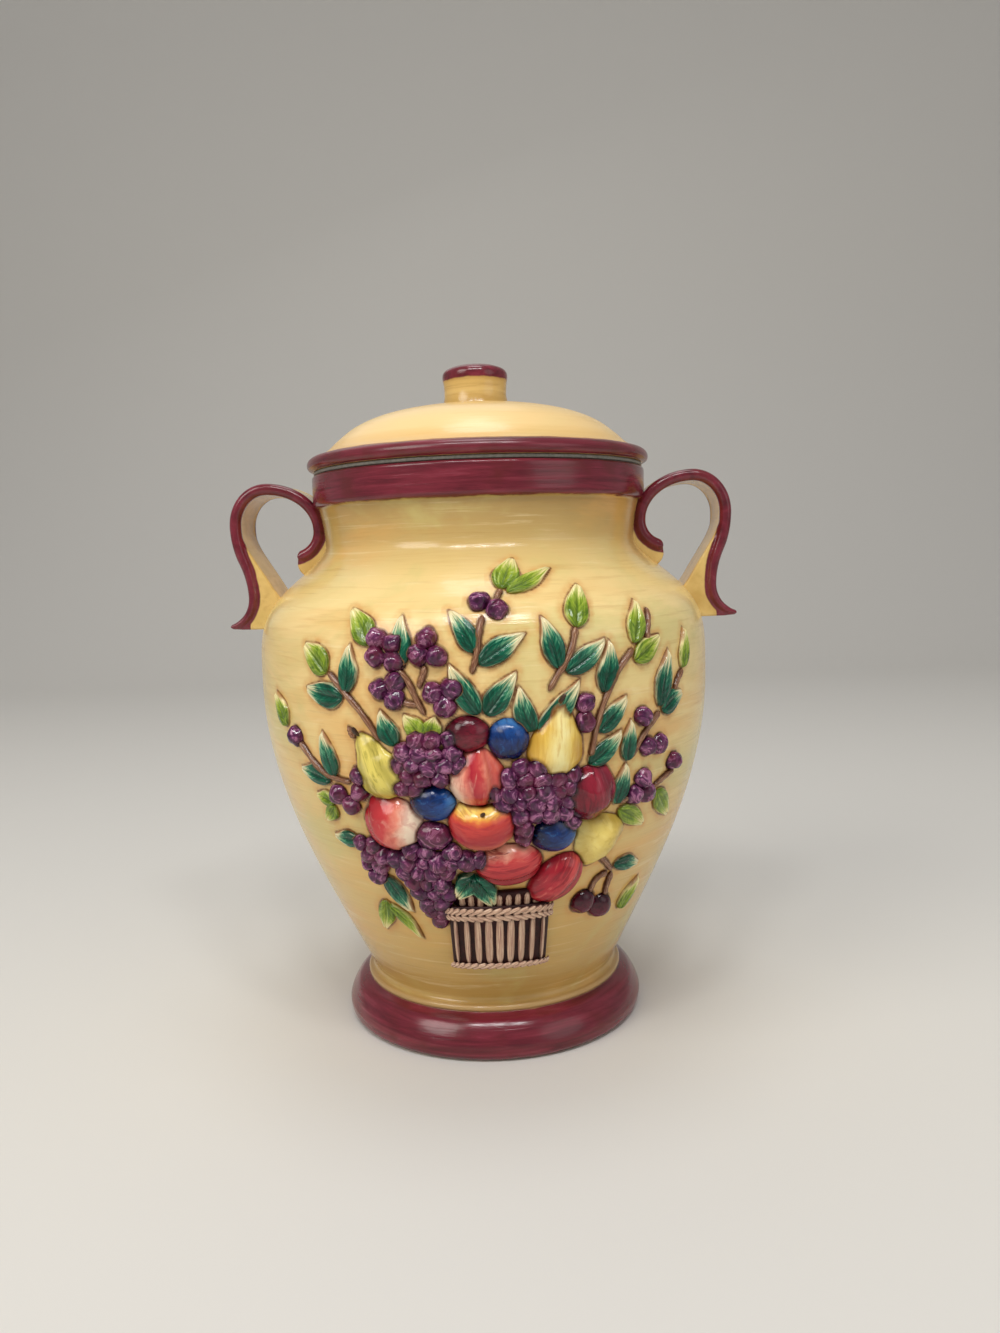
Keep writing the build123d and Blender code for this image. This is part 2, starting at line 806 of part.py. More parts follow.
# ---------------------------------------------------------------- write the pieces
def main():
    os.makedirs("parts", exist_ok=True)
    dome = lid_dome()
    right_handle = handle()
    pieces = {
        "jar_body": jar_body(),
        "handle_right": right_handle,
        "handle_left": right_handle.mirror(Plane.YZ),
        "lid_seal": lid_seal(),
        "lid_dome": dome,
        "lid_knob": lid_knob(dome),
    }
    lay_relief()
    for node, solids in relief.items():
        pieces[node] = solids[0] if len(solids) == 1 else Compound(children=solids)
    for node, piece in pieces.items():
        export_step(piece, f"parts/{node}.step")


main()
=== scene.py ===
import math

import bmesh
import bpy
import numpy as np
from mathutils import Matrix, Vector
from mathutils.bvhtree import BVHTree


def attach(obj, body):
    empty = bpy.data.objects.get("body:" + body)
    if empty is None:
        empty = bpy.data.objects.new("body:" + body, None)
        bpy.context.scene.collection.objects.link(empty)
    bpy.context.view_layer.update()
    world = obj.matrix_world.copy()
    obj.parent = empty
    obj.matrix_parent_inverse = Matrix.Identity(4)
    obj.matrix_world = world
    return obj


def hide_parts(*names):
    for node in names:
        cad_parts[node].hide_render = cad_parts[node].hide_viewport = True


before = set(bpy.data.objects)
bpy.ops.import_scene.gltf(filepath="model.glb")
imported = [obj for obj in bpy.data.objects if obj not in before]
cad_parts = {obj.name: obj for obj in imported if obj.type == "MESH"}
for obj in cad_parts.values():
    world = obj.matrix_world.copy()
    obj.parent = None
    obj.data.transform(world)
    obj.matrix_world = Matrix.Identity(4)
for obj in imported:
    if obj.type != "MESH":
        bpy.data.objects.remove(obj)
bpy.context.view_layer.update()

# Lengths are millimetres until a mesh is made. A place on the wall is its distance round the belly from the
# front, to the right, and its height.

# ---------------------------------------------------------------- sizes shared with the solids
FOOT_RADIUS, FOOT_HEIGHT, FOOT_EDGE, FOOT_NECK = 65.4, 17.6, 4.0, 56.2
WAIST_RADIUS, WAIST_HEIGHT = 54.0, 22.0
BELLY_RADIUS, BELLY_HEIGHT = 96.4, 150.0
LOWER_FULLNESS, SHOULDER_FULLNESS = 1.04, 2.05
NECK_RADIUS, NECK_HEIGHT = 67.0, 207.5
COLLAR_RADIUS, COLLAR_LOW, RIM_HEIGHT = 71.5, 223.0, 236.3
WALL, BORE_RADIUS, FLOOR_HEIGHT = 5.5, 61.0, 9.0
RECESS_RADIUS, RECESS_DEPTH = 53.4, 3.0
LID_RADIUS, LID_LOW, LID_RIM_TOP, DOME_TOP = 73.3, 238.1, 243.5, 265.2
PLUG_RADIUS, PLUG_LOW, HOLLOW_RADIUS = 57.1, 226.5, 52.6
KNOB_RADIUS, KNOB_SHOULDER, KNOB_TOP = 14.0, 277.4, 282.2
HANDLE_HALF_WIDTH, HANDLE_HALF_THICKNESS = 14.0, 2.5
GRAPE_RADIUS, BERRY_RADIUS, CHERRY_RADIUS, STEM_RADIUS = 3.85, 4.0, 5.4, 1.25
BASKET_AROUND, BASKET_LOW, BASKET_HIGH = 8.1, 40.2, 69.6
BASKET_RIM_WIDTH, BASKET_BASE_WIDTH, BASKET_PROUD = 38.5, 36.0, 4.4
FAR_RIM_HIGH, FAR_RIM_WIDTH, FAR_RIM_PROUD = 75.8, 34.5, 2.0

# ---------------------------------------------------------------- sizes of the meshes alone
MM = 1000.0  # millimetres in a metre
SUNK = 0.7  # how far relief reaches behind the face of the wall
RELIEF_TURN = 66  # degrees from the front to either end of the relief
SLATS, BAND_STRANDS = 9, 17
RELIEF_REACH, WALL_REACH = 2.0, 6.0  # how near a neighbour counts, for the painted crevice shade on relief and the brown halo on the wall
RED_FOOT_TOP, RED_COLLAR_LOW, RED_LID_TOP, RED_CAP_LOW = 17.7, 222.9, 244.3, 275.55  # limits of the burgundy
RED_HANDLE_EDGE = 11.0  # from the middle of the ribbon
BEAD_LOW, BEAD_TOP = 17.5, 20.1


# ---------------------------------------------------------------- the wall of the jar
def wall_radius(height):
    height = np.asarray(height, float)
    rise = np.clip((height - WAIST_HEIGHT) / (BELLY_HEIGHT - WAIST_HEIGHT), 0, 1)
    low = WAIST_RADIUS + (BELLY_RADIUS - WAIST_RADIUS) * np.sin(np.pi / 2 * rise**LOWER_FULLNESS)
    over = np.clip((height - BELLY_HEIGHT) / (NECK_HEIGHT - BELLY_HEIGHT), 0, 1)
    fall = (1 + np.cos(np.pi * over**SHOULDER_FULLNESS)) / 2
    high = NECK_RADIUS + (BELLY_RADIUS - NECK_RADIUS) * fall
    return np.where(height <= BELLY_HEIGHT, low, high)


def wall_normal(height):
    """Outward and upward shares of the wall's normal."""
    height, step = np.asarray(height), 0.05
    slope = (wall_radius(height + step) - wall_radius(height - step)) / (2 * step)
    size = np.hypot(1, slope)
    return 1 / size, -slope / size


def on_wall(around, height, proud=0.0):
    """Points standing proud of the wall."""
    turn, height, proud = np.broadcast_arrays(np.asarray(around) / BELLY_RADIUS, height, proud)
    out, up = wall_normal(height)
    radius = wall_radius(height) + proud * out
    return np.stack([radius * np.sin(turn), -radius * np.cos(turn), height + proud * up], -1)


def seat(around, height, proud=0.0):
    """Origin on the wall, and its right, up and outward directions as rows."""
    turn = around / BELLY_RADIUS
    out, up = (float(x) for x in wall_normal(height))
    normal = np.array([out * math.sin(turn), -out * math.cos(turn), up])
    right = np.array([math.cos(turn), math.sin(turn), 0])
    origin = on_wall(around, height)
    return origin + normal * proud, np.stack([right, np.cross(normal, right), normal])


def across(start, end):
    """Distance and lean between two places on the wall."""
    middle = (start[1] + end[1]) / 2
    sideways = (end[0] - start[0]) / BELLY_RADIUS * float(wall_radius(middle))
    upward = (end[1] - start[1]) / float(wall_normal(middle)[0])
    return math.hypot(sideways, upward), math.atan2(sideways, upward)


# ---------------------------------------------------------------- mesh helpers
def normalized(rows):
    return rows / np.linalg.norm(rows, axis=1)[:, None]


def ripple(points, length, seed, waves=14):
    """Smooth unevenness of about -1 to 1 whose bumps are about a length apart."""
    rng = np.random.default_rng(seed)
    direction = normalized(rng.normal(size=(waves, 3)))
    pitch = 2 * np.pi / (length * rng.uniform(0.7, 1.5, waves))
    phase = rng.uniform(0, 2 * np.pi, waves)
    return np.sin(points @ (direction * pitch[:, None]).T + phase).sum(1) / math.sqrt(waves)


def lengths(line):
    """Distance along a polyline at each of its points."""
    return np.concatenate([[0], np.cumsum(np.linalg.norm(np.diff(line, axis=0), axis=1))])


def even(line, count):
    """A polyline resampled at even steps."""
    line = np.asarray(line, float)
    far = lengths(line)
    want = np.linspace(0, far[-1], count)
    return np.stack([np.interp(want, far, column) for column in line.T], 1)


def curve_through(places, count):
    """Smooth curve through places, evenly spaced in length."""
    p = np.asarray(places, float)
    p = np.vstack([2 * p[0] - p[1], p, 2 * p[-1] - p[-2]])
    t = np.linspace(0, 1, 24, endpoint=False)[:, None]
    found = [
        0.5 * (2 * b + (c - a) * t + (2 * a - 5 * b + 4 * c - d) * t**2 + (3 * b - 3 * c + d - a) * t**3)
        for a, b, c, d in zip(p, p[1:], p[2:], p[3:])
    ]
    return even(np.vstack(found + [p[-2]]), count)


def near(corner, *steps):
    """Places given from a corner."""
    return [(corner[0] + x, corner[1] + y) for x, y in steps]


def arc(centre, radius, start, end, count):
    """Arc in a plane, in degrees, with one radius or two."""
    rx, ry = radius if isinstance(radius, tuple) else (radius, radius)
    t = np.radians(np.linspace(start, end, count))
    return np.stack([centre[0] + rx * np.cos(t), centre[1] + ry * np.sin(t)], 1)


def grid_faces(rows, cols, wrap=False):
    row = np.arange(rows - 1)[:, None] * cols
    col = np.arange(cols if wrap else cols - 1)[None, :]
    after = (col + 1) % cols
    return np.stack([row + col, row + after, row + cols + after, row + cols + col], -1).reshape(-1, 4)


def grid(rows, cols):
    """Values down and across a grid, from those of its rows and its columns."""
    return np.meshgrid(rows, cols, indexing="ij")


def ball(level):
    """Unit sphere as points and triangles."""
    made = bmesh.new()
    bmesh.ops.create_icosphere(made, subdivisions=level, radius=1)
    points = np.array([v.co[:] for v in made.verts])
    faces = np.array([[v.index for v in f.verts] for f in made.faces])
    made.free()
    return points, faces


COARSE, MEDIUM, FINE = (ball(level) for level in (3, 4, 5))


def linked(name, data):
    made = bpy.data.objects.new(name, data)
    bpy.context.scene.collection.objects.link(made)
    return made


def dressed(name, mesh, material):
    mesh.polygons.foreach_set("use_smooth", [True] * len(mesh.polygons))
    mesh.materials.append(material)
    return linked(name, mesh)


def store(mesh, key, values):
    mesh.attributes.new(key, "FLOAT", "POINT").data.foreach_set("value", values.astype(np.float32))


class Piece:
    """Points, faces and point attributes of one object that stands for a node."""

    def __init__(self, node, slot, body="jar", name=None):
        self.node, self.slot, self.body, self.name = node, slot, body, name or node + "_glazed"
        self.points, self.faces, self.values, self.count = [], [], {}, 0

    def add(self, points, faces, **values):
        points = np.asarray(points, float).reshape(-1, 3)
        for key, value in values.items():
            self.values.setdefault(key, []).append(np.broadcast_to(value, len(points)).astype(float))
        self.faces += (np.asarray(faces) + self.count).tolist()
        self.points.append(points)
        self.count += len(points)

    def all_points(self):
        return np.vstack(self.points)

    def mesh(self):
        made = bpy.data.meshes.new(self.name)
        made.from_pydata((self.all_points() / MM).tolist(), [], self.faces)
        for key, found in self.values.items():
            store(made, key, np.concatenate(found))
        return made

    def finish(self, mesh, material):
        mesh.validate()
        made = dressed(self.name, mesh, material)
        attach(made, self.body)
        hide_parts(self.node)


pieces = []


def glazed(*what):
    """A new piece that is finished with the others at the end."""
    pieces.append(Piece(*what))
    return pieces[-1]


def turn_profile(piece, profile, angles):
    """Surface turned about Z from (radius, height) rows. It closes on itself round the axis."""
    profile = np.asarray(profile, float)
    height, turn = grid(profile[:, 1], np.radians(angles))
    radius = np.maximum(profile[:, :1], 0.02)
    points = np.stack([radius * np.sin(turn), -radius * np.cos(turn), height], -1)
    piece.add(points, grid_faces(*turn.shape, wrap=True)[:, ::-1])


def joined_rings(piece, points, inward=False, **values):
    """Rings of points joined into a tube with flat ends. Inward is for rings that run the other way."""
    rows, cols = points.shape[:2]
    faces = grid_faces(rows, cols, wrap=True)
    ends = np.stack([np.arange(cols)[::-1], np.arange(cols) + (rows - 1) * cols]) + piece.count
    way = -1 if inward else 1
    piece.add(points, faces[:, ::way], **values)
    piece.faces += ends[:, ::way].tolist()


def tube(piece, centre, outward, size, own, cols, flat=1.0):
    """Tube of a size along points, flattened in its outward direction."""
    ahead = normalized(np.gradient(centre, axis=0))
    side = normalized(np.cross(ahead, outward))
    normal = np.cross(side, ahead)
    around = np.linspace(0, 2 * np.pi, cols, endpoint=False)
    ring = side[:, None, :] * np.cos(around)[:, None] + flat * normal[:, None, :] * np.sin(around)[:, None]
    joined_rings(
        piece, centre[:, None, :] + ring * size[:, None, None], inward=True,
        side=np.tile(np.cos(around), len(size)), along=np.repeat(np.linspace(0, 1, len(size)), cols), own=own)


def block(piece, outer, back, side=0.0, along=0.5, own=0.5):
    """Two grids of points joined round their border."""
    rows, cols = outer.shape[:2]
    count = rows * cols
    quads = grid_faces(rows, cols)
    border = list(range(cols)) + [r * cols - 1 for r in range(2, rows + 1)]
    border += list(range(count - 2, (rows - 1) * cols - 1, -1)) + [r * cols for r in range(rows - 2, 0, -1)]
    ring = [[b, a, a + count, b + count] for a, b in zip(border, border[1:] + border[:1])]
    faces = np.vstack([quads, quads[:, ::-1] + count, ring])
    piece.add(np.stack([outer, back]), faces, side=side, along=along, own=own)


# ---------------------------------------------------------------- jar, lid, knob and seal
round_angles = np.concatenate([
    np.arange(-RELIEF_TURN, RELIEF_TURN, 0.42),
    np.linspace(RELIEF_TURN, 360 - RELIEF_TURN, 150, endpoint=False)])
plain_angles = np.linspace(0, 360, 360, endpoint=False)


def depth_point(height, depth):
    """Place in the profile, so deep under the wall's face."""
    out, up = wall_normal(height)
    return np.stack([wall_radius(height) - depth * out, height - depth * up], -1)


def jar_profile():
    """Radii and heights from the middle of the recess round to the middle of the floor inside."""
    edge = FOOT_EDGE
    foot_side = curve_through(
        [(FOOT_RADIUS, edge), (FOOT_RADIUS + 0.15, edge + 2.5), (FOOT_RADIUS - 1.6, FOOT_HEIGHT * 0.62),
         (FOOT_RADIUS - 4.6, FOOT_HEIGHT * 0.86), (FOOT_NECK, FOOT_HEIGHT)], 26)
    bead = arc((FOOT_NECK - 0.7, FOOT_HEIGHT + 1.05), 1.45, -70, 100, 9)
    wall = np.concatenate([
        np.linspace(WAIST_HEIGHT, 38, 18, endpoint=False), np.linspace(38, 202, 222, endpoint=False),
        np.linspace(202, NECK_HEIGHT, 8)])
    flare = near((COLLAR_RADIUS, COLLAR_LOW), (-2.3, -0.2), (-0.9, 0.15), (-0.1, 1.3), (0, 3.2))
    neck = curve_through(
        near((NECK_RADIUS, NECK_HEIGHT), (0, 0), (0.1, 3)) + [(NECK_RADIUS + 0.7, 216), flare[0]], 14)
    collar = np.vstack([
        curve_through(flare, 10),
        np.stack([np.full(8, COLLAR_RADIUS), np.linspace(COLLAR_LOW + 4, RIM_HEIGHT - 3, 8)], 1),
        arc((COLLAR_RADIUS - 1.5, RIM_HEIGHT - 1.5), 1.5, 0, 90, 8),
        arc((BORE_RADIUS + 1.2, RIM_HEIGHT - 1.2), 1.2, 90, 180, 6),
    ])
    inner_heights = np.linspace(NECK_HEIGHT, WAIST_HEIGHT, 60)
    inside = np.vstack([
        [(BORE_RADIUS, COLLAR_LOW)],
        depth_point(inner_heights, WALL),
        [(48.5, 15.5), (47.9, 13)],
        arc((42.5, FLOOR_HEIGHT + 6), 6, -12, -90, 6),
        [(30, FLOOR_HEIGHT), (15, FLOOR_HEIGHT), (0, FLOOR_HEIGHT)],
    ])
    base = [(0, RECESS_DEPTH), (25, RECESS_DEPTH), *near((RECESS_RADIUS, RECESS_DEPTH), (-0.8, 0), (0, -0.8)),
            *near((RECESS_RADIUS, 0), (0, 0.6), (0.6, 0)), (57.5, 0)]
    return np.vstack([
        base, arc((FOOT_RADIUS - edge, edge), edge, -90, -8, 9), foot_side, bead[1:],
        [(FOOT_NECK - 1.6, 20.9)], np.stack([wall_radius(wall), wall], 1), neck[1:], collar[1:], inside,
    ])


jar = glazed("jar_body", "cream_glaze")
turn_profile(jar, jar_profile(), round_angles)

dome_shape = ((1.0, 0.02), (0.935, 0.115), (0.862, 0.325), (0.765, 0.56), (0.645, 0.735), (0.5, 0.86),
              (0.33, 0.945), (0.16, 0.986), (0.0, 1.0))
dome = curve_through(
    [((LID_RADIUS - 3.6) * a, LID_RIM_TOP + (DOME_TOP - LID_RIM_TOP) * b) for a, b in dome_shape], 70)
rim = curve_through(
    near((LID_RADIUS, LID_LOW), (-2.2, 0), (-0.55, 0.9), (0, 2.5), (-0.6, 4.3), (-2.1, 5.5)) + [dome[0]], 20)
under = [(HOLLOW_RADIUS + 0.6, PLUG_LOW), *near((PLUG_RADIUS, PLUG_LOW), (-0.8, 0), (0, 0.8)),
         *near((PLUG_RADIUS, LID_LOW), (0, -0.6), (0.6, 0)), (65, LID_LOW)]
inner_dome = curve_through(
    [(0, 260.6), (20, 260), (HOLLOW_RADIUS * 0.6, 258.2), (45, 254.4), (HOLLOW_RADIUS, 250.6),
     (HOLLOW_RADIUS, 244), (HOLLOW_RADIUS, PLUG_LOW + 0.6)], 40)

turn_profile(glazed("lid_dome", "lid_glaze", "lid"), [*inner_dome, *under, *rim[:-1], *dome], plain_angles)

knob_line = curve_through(
    near((KNOB_RADIUS, DOME_TOP), (0.9, -1.2), (0.05, 0.8), (-0.6, 4.2), (-0.5, 8.4))
    + near((KNOB_RADIUS, KNOB_SHOULDER), (-0.1, -1.4), (0, 0), (-0.35, 1.6), (-2.0, 3.1))
    + [(7.5, KNOB_TOP - 0.35), (0, KNOB_TOP)], 60)
turn_profile(glazed("lid_knob", "knob_glaze", "lid"), [(0, DOME_TOP - 1.9), *knob_line], plain_angles)

inner_edge, sleeve = PLUG_RADIUS + 0.3, 60.3
seal_low, seal_top = RIM_HEIGHT + 0.2, RIM_HEIGHT + 1.6
fins = []
for level in (PLUG_LOW + 2, PLUG_LOW + 5.5):
    fins += near((sleeve, level), (0, 0), (0.4, 0.3), (0.4, 1.3), (0, 1.6))
seal_profile = [
    (inner_edge, seal_top), (inner_edge, PLUG_LOW + 1), (sleeve - 0.3, PLUG_LOW + 1), *fins, (sleeve, seal_low),
    (70.3, seal_low), (70.6, seal_low + 0.35), (70.6, seal_top - 0.35), (70.3, seal_top),
    (inner_edge, seal_top)]
turn_profile(glazed("lid_seal", "seal_rubber", "seal", "lid_seal_soft"), seal_profile, plain_angles)


# ---------------------------------------------------------------- handles
CURL_CENTRE, ARCH_CENTRE = (79.6, 213.7), (91, 213.7)


def ribbon(piece, line, thickness):
    """Ribbon with beaded edges along a line in XZ."""
    ahead = normalized(np.gradient(line, axis=0))
    side = np.stack([-ahead[:, 1], ahead[:, 0]], 1)
    bead, flat = HANDLE_HALF_THICKNESS, HANDLE_HALF_WIDTH - HANDLE_HALF_THICKNESS
    inner = np.linspace(-flat, flat, 40)
    slab = 0.84 + 0.16 * np.exp(-(((flat - np.abs(inner)) / 1.5) ** 2))
    end = np.radians(np.linspace(90, -90, 14))[1:-1]
    edge = flat + bead * np.cos(end)
    ys = np.concatenate([inner, edge, inner[::-1], -edge])
    rise = np.concatenate([slab, np.sin(end), -slab, -np.sin(end)])
    xz = line[:, None, :] + side[:, None, :] * (thickness[:, None] * bead * rise[None, :])[:, :, None]
    joined_rings(piece, np.stack([xz[:, :, 0], np.broadcast_to(ys, xz.shape[:2]), xz[:, :, 1]], -1))


def web(piece, *outline):
    """Flat-sided block with an outline in XZ, a little narrower than the ribbon."""
    outline = np.vstack(outline)[::-1]
    half_width = HANDLE_HALF_WIDTH - 1.5
    joined_rings(piece, np.stack([np.insert(outline, 1, y, axis=1) for y in (-half_width, half_width)]))


def handle_line():
    reach, limb, high, low = 104.8, 98.7, 216.5, 186.0
    sway, drop = reach - limb, high - low
    bend = (sway * sway + drop * drop) / (4 * sway)
    lean = math.degrees(math.asin(drop / 2 / bend))
    curl = arc(CURL_CENTRE, 11, 264, 180, 24)
    arch = arc(ARCH_CENTRE, (22.4, 18.3), 172, 90, 26)
    over = arc((ARCH_CENTRE[0], high), (13.8, 15.5), 90, 0, 22)
    upper = arc((reach - bend, high), bend, 0, -lean, 14)
    lower = arc((limb + bend, low), bend, 180 - lean, 180, 14)
    flick = arc((110.2, low), (11.5, 12.6), 180, 264, 20)
    return np.vstack([curl, arch, over[1:], upper[1:], lower[1:], flick[1:]])


def inside_wall(height):
    """Places in XZ just inside the wall, where the webs start."""
    height = np.atleast_1d(height)
    return np.stack([np.sqrt(wall_radius(height) ** 2 - HANDLE_HALF_WIDTH**2) - 1.0, height], 1)


def handle(side, node, material):
    """Scroll handle, made as overlapping solids that are then fused and softened."""
    piece = Piece(node, "handle_glaze")
    whole = handle_line()
    line = even(whole, 150)
    from_start = lengths(line)
    tip = np.clip(from_start / 2.4, 0.02, 1)
    thick = np.clip(np.sqrt(tip * (2 - tip)), 0.1, 1)
    thick *= np.interp(from_start[-1] - from_start, [0, 5, 12, 22, 36], [0.34, 0.62, 0.76, 0.84, 1.0])
    ribbon(piece, line, thick)
    web(piece, inside_wall(np.linspace(196.4, 224.4, 24))[::-1], inside_wall(194.6),
        [(76.4, 195.2), (77.8, 196.8), (78.6, 199.0), (78.5, 201.2)],
        arc(CURL_CENTRE, 12.4, 180, 262, 16)[::-1], [(68.4, 220), (70.0, 224.2)])
    limb = whole[(whole[:, 0] > 95) & (whole[:, 1] < 213)]
    inner_edge = curve_through(
        [inside_wall(184.6)[0], (89.4, 189.2), (92.6, 194.6), (96.6, 201.0), (99.8, 206.4), (101.6, 210.4),
         (102.6, 213.4)], 24)
    web(piece, inside_wall(np.linspace(172.6, 184.0, 14)), inner_edge, limb[:-2],
        [(109.0, 172.4), (104, 172.1), (94, 172.0)])
    rough = piece.mesh()
    working = linked("rough", rough)
    fuse = working.modifiers.new("fuse", "REMESH")
    fuse.mode, fuse.voxel_size = "VOXEL", 0.00055
    soften = working.modifiers.new("soften", "SMOOTH")
    soften.factor, soften.iterations = 0.5, 6
    bpy.context.view_layer.update()
    final = bpy.data.meshes.new_from_object(working.evaluated_get(bpy.context.evaluated_depsgraph_get()))
    bpy.data.objects.remove(working)
    bpy.data.meshes.remove(rough)
    points = np.zeros(len(final.vertices) * 3)
    final.vertices.foreach_get("co", points)
    points = points.reshape(-1, 3) * MM
    away = np.full(len(points), 99.0)
    for x, z in even(whole, 220):
        away = np.minimum(away, np.hypot(points[:, 0] - x, points[:, 2] - z))
    lowest_tip = (points[:, 0] > 100.6) & (points[:, 2] < 178.5)
    away[lowest_tip] = 0
    store(final, "away", away)
    if side < 0:
        points[:, 0] *= -1
        final.vertices.foreach_set("co", (points / MM).ravel())
        final.flip_normals()
    final.name = piece.name
    piece.finish(final, material)


# ---------------------------------------------------------------- relief shapes
def set_on(points, around, height, sink, tilt=0.0, nod=0.0):
    """Local points (right, up, out) placed on the wall."""
    n, t = math.radians(nod), -math.radians(tilt)
    nodding = np.array([[1, 0, 0], [0, math.cos(n), -math.sin(n)], [0, math.sin(n), math.cos(n)]])
    leaning = np.array([[math.cos(t), -math.sin(t), 0], [math.sin(t), math.cos(t), 0], [0, 0, 1]])
    origin, axes = seat(around, height, -sink)
    return points @ (leaning @ nodding).T @ axes + origin


OVAL = [(0.5 * math.cos(a), 0.5 * math.sin(a)) for a in np.linspace(-np.pi / 2, np.pi / 2, 13)]
PEAR = [(0, -0.47), (0.18, -0.49), (0.38, -0.42), (0.49, -0.27), (0.5, -0.13), (0.455, 0.02), (0.365, 0.16),
        (0.275, 0.28), (0.19, 0.39), (0.1, 0.47), (0, 0.5)]
APPLE = [(0, -0.44), (0.14, -0.48), (0.34, -0.42), (0.47, -0.22), (0.5, 0.02), (0.47, 0.24), (0.36, 0.42),
         (0.22, 0.48), (0.1, 0.43), (0, 0.34)]
PEACH = [(0, -0.45), (0.2, -0.465), (0.39, -0.36), (0.49, -0.13), (0.47, 0.08), (0.37, 0.26), (0.23, 0.4),
         (0.09, 0.485), (0, 0.5)]
QUINCE = [(0, -0.5), (0.13, -0.485), (0.29, -0.36), (0.43, -0.16), (0.5, 0.1), (0.49, 0.28), (0.4, 0.4),
          (0.2, 0.45), (0, 0.46)]


def profile_shape(width, length, line):
    """Radius, height and turn of a solid of revolution about Y, from a half profile in shares of its size."""
    unit, faces = FINE
    line = curve_through([(x * width, y * length) for x, y in line], 120)
    polar = np.arccos(np.clip(-unit[:, 1], -1, 1)) / np.pi
    at = np.linspace(0, 1, len(line))
    radius, height = (np.interp(polar, at, column) for column in line.T)
    return radius, height, np.arctan2(unit[:, 0], unit[:, 2]), faces


def fruit(name, slot, line, width, length, place, sink, tilt=0.0, nod=0.0, *, groove=None, lump=0.12, ribs=0,
          stalk=None):
    """A fruit, with a groove or ribs from end to end and a stalk where it has them."""
    radius, height, around, faces = profile_shape(width, length, line)
    crease = 0 * radius
    if groove is not None:
        gap = np.angle(np.exp(1j * (around - math.radians(groove))))
        crease = np.exp(-((gap / 0.2) ** 2))
        radius = radius * (1 - 0.12 * crease + 0.02 * np.exp(-((gap / 0.5) ** 2)))
    if ribs:
        radius = radius * (1 + 0.045 * np.cos(ribs * around))
        crease = 0.8 * (0.5 - 0.5 * np.cos(ribs * around)) ** 3
    local = np.stack([radius * np.sin(around), height, radius * np.cos(around)], 1)
    outward = local / np.maximum(np.linalg.norm(local, axis=1), 1)[:, None]
    local += outward * lump * ripple(local, 7, len(name))[:, None]
    piece, where = glazed(name, slot), (*place, sink, tilt, nod)
    piece.add(set_on(local, *where), faces, side=local[:, 0] / width * 2, along=local[:, 1] / length * 2,
              crease=crease, stalk=0.0)
    if stalk is not None:
        unit, faces = COARSE
        start, forward = stalk
        up = (unit[:, 1] + 1) / 2
        size = 0.75 + 0.35 * up
        x, z = unit[:, 0] * size + 0.9 * up**2, unit[:, 2] * size + forward + 1.6 * up
        local = np.stack([x, length * start + 4.6 * up, z], 1)
        piece.add(set_on(local, *where), faces, side=unit[:, 0], along=up, crease=0.0, stalk=1.0)


def small_ball(piece, place, proud, radius, seed, form=COARSE, lump=0.26, stretch=(1, 1, 1)):
    """Grape or berry: a lumpy ball with a small dimple."""
    unit, faces = form
    rng = np.random.default_rng(seed)
    dimple = rng.normal(size=3) * (0.7, 0.7, 0.3) + (0, 0, 1)
    dimple /= np.linalg.norm(dimple)
    near = np.exp(-(((1 - unit @ dimple) / 0.045) ** 2))
    size = radius * (1 + lump * 0.35 * ripple(unit, 1.3, seed + 7, 8) - 0.1 * near)
    local = unit * size[:, None] * np.array(stretch)
    piece.add(set_on(local, *place, -proud), faces, side=unit[:, 0], along=unit[:, 1], dot=near,
              own=float(rng.uniform()))


LEAF_SHAPE = curve_through(
    [(0, 0.02), (0.05, 0.4), (0.14, 0.72), (0.27, 0.95), (0.4, 1.0), (0.56, 0.88), (0.72, 0.62), (0.86, 0.34),
     (0.95, 0.14), (1, 0.02)], 90)


def leaf(piece, base, tip, width, seed, rise):
    """Leaf with a midrib, full cheeks and raised edges, lying on the wall."""
    length, tilt = across(base, tip)
    t, s = grid(np.linspace(0, 1, 34), np.linspace(-1, 1, 25))
    rng = np.random.default_rng(seed)
    half = width / 2 * np.interp(t, LEAF_SHAPE[:, 0], LEAF_SHAPE[:, 1])
    half = np.maximum(half, 0.1) * (1 + 0.04 * np.sin(9 * t + rng.uniform(0, 6)))
    sideways = s * half + rng.uniform(-0.06, 0.06) * length * np.sin(np.pi * t)
    edge = np.abs(s)
    wall_side = np.clip((1 - edge) / 0.2, 0, 1) ** 0.55
    lip = 0.16 * np.exp(-(((edge - 0.84) / 0.09) ** 2))
    cheek = 0.28 * np.exp(-(((edge - 0.42) / 0.28) ** 2)) * (1 - 0.4 * t)
    rib = np.exp(-((s * half / 0.42) ** 2)) * np.clip(t * 6, 0, 1) * np.clip((1 - t) * 2.2, 0, 1)
    vein = 0.05 * np.sin((t * 8.0 - edge * 2.2) * 2 * np.pi) * np.clip(1 - edge, 0, 1) * np.clip(edge * 3, 0, 1)
    ends = np.clip(t / 0.08, 0, 1) ** 0.5 * np.clip((1 - t) / 0.1, 0, 1) ** 0.5
    narrow = np.minimum(1, half / (0.2 * width) + 0.2)
    high = rise * wall_side * (0.62 + lip + cheek + vein) * ends * narrow - 0.34 * rib
    border = (edge > 0.999) | (t < 1e-6) | (t > 1 - 1e-6)
    high = np.where(border, -0.15, high)
    upward = math.cos(tilt) * (t * length) - math.sin(tilt) * sideways
    slide = math.sin(tilt) * (t * length) + math.cos(tilt) * sideways
    heights = base[1] + upward * float(wall_normal((base[1] + tip[1]) / 2)[0])
    around = base[0] + slide / wall_radius(heights) * BELLY_RADIUS
    block(piece, on_wall(around, heights, high), on_wall(around, heights, -SUNK),
          np.tile(s.ravel(), 2), np.tile(t.ravel(), 2), float(rng.uniform()))


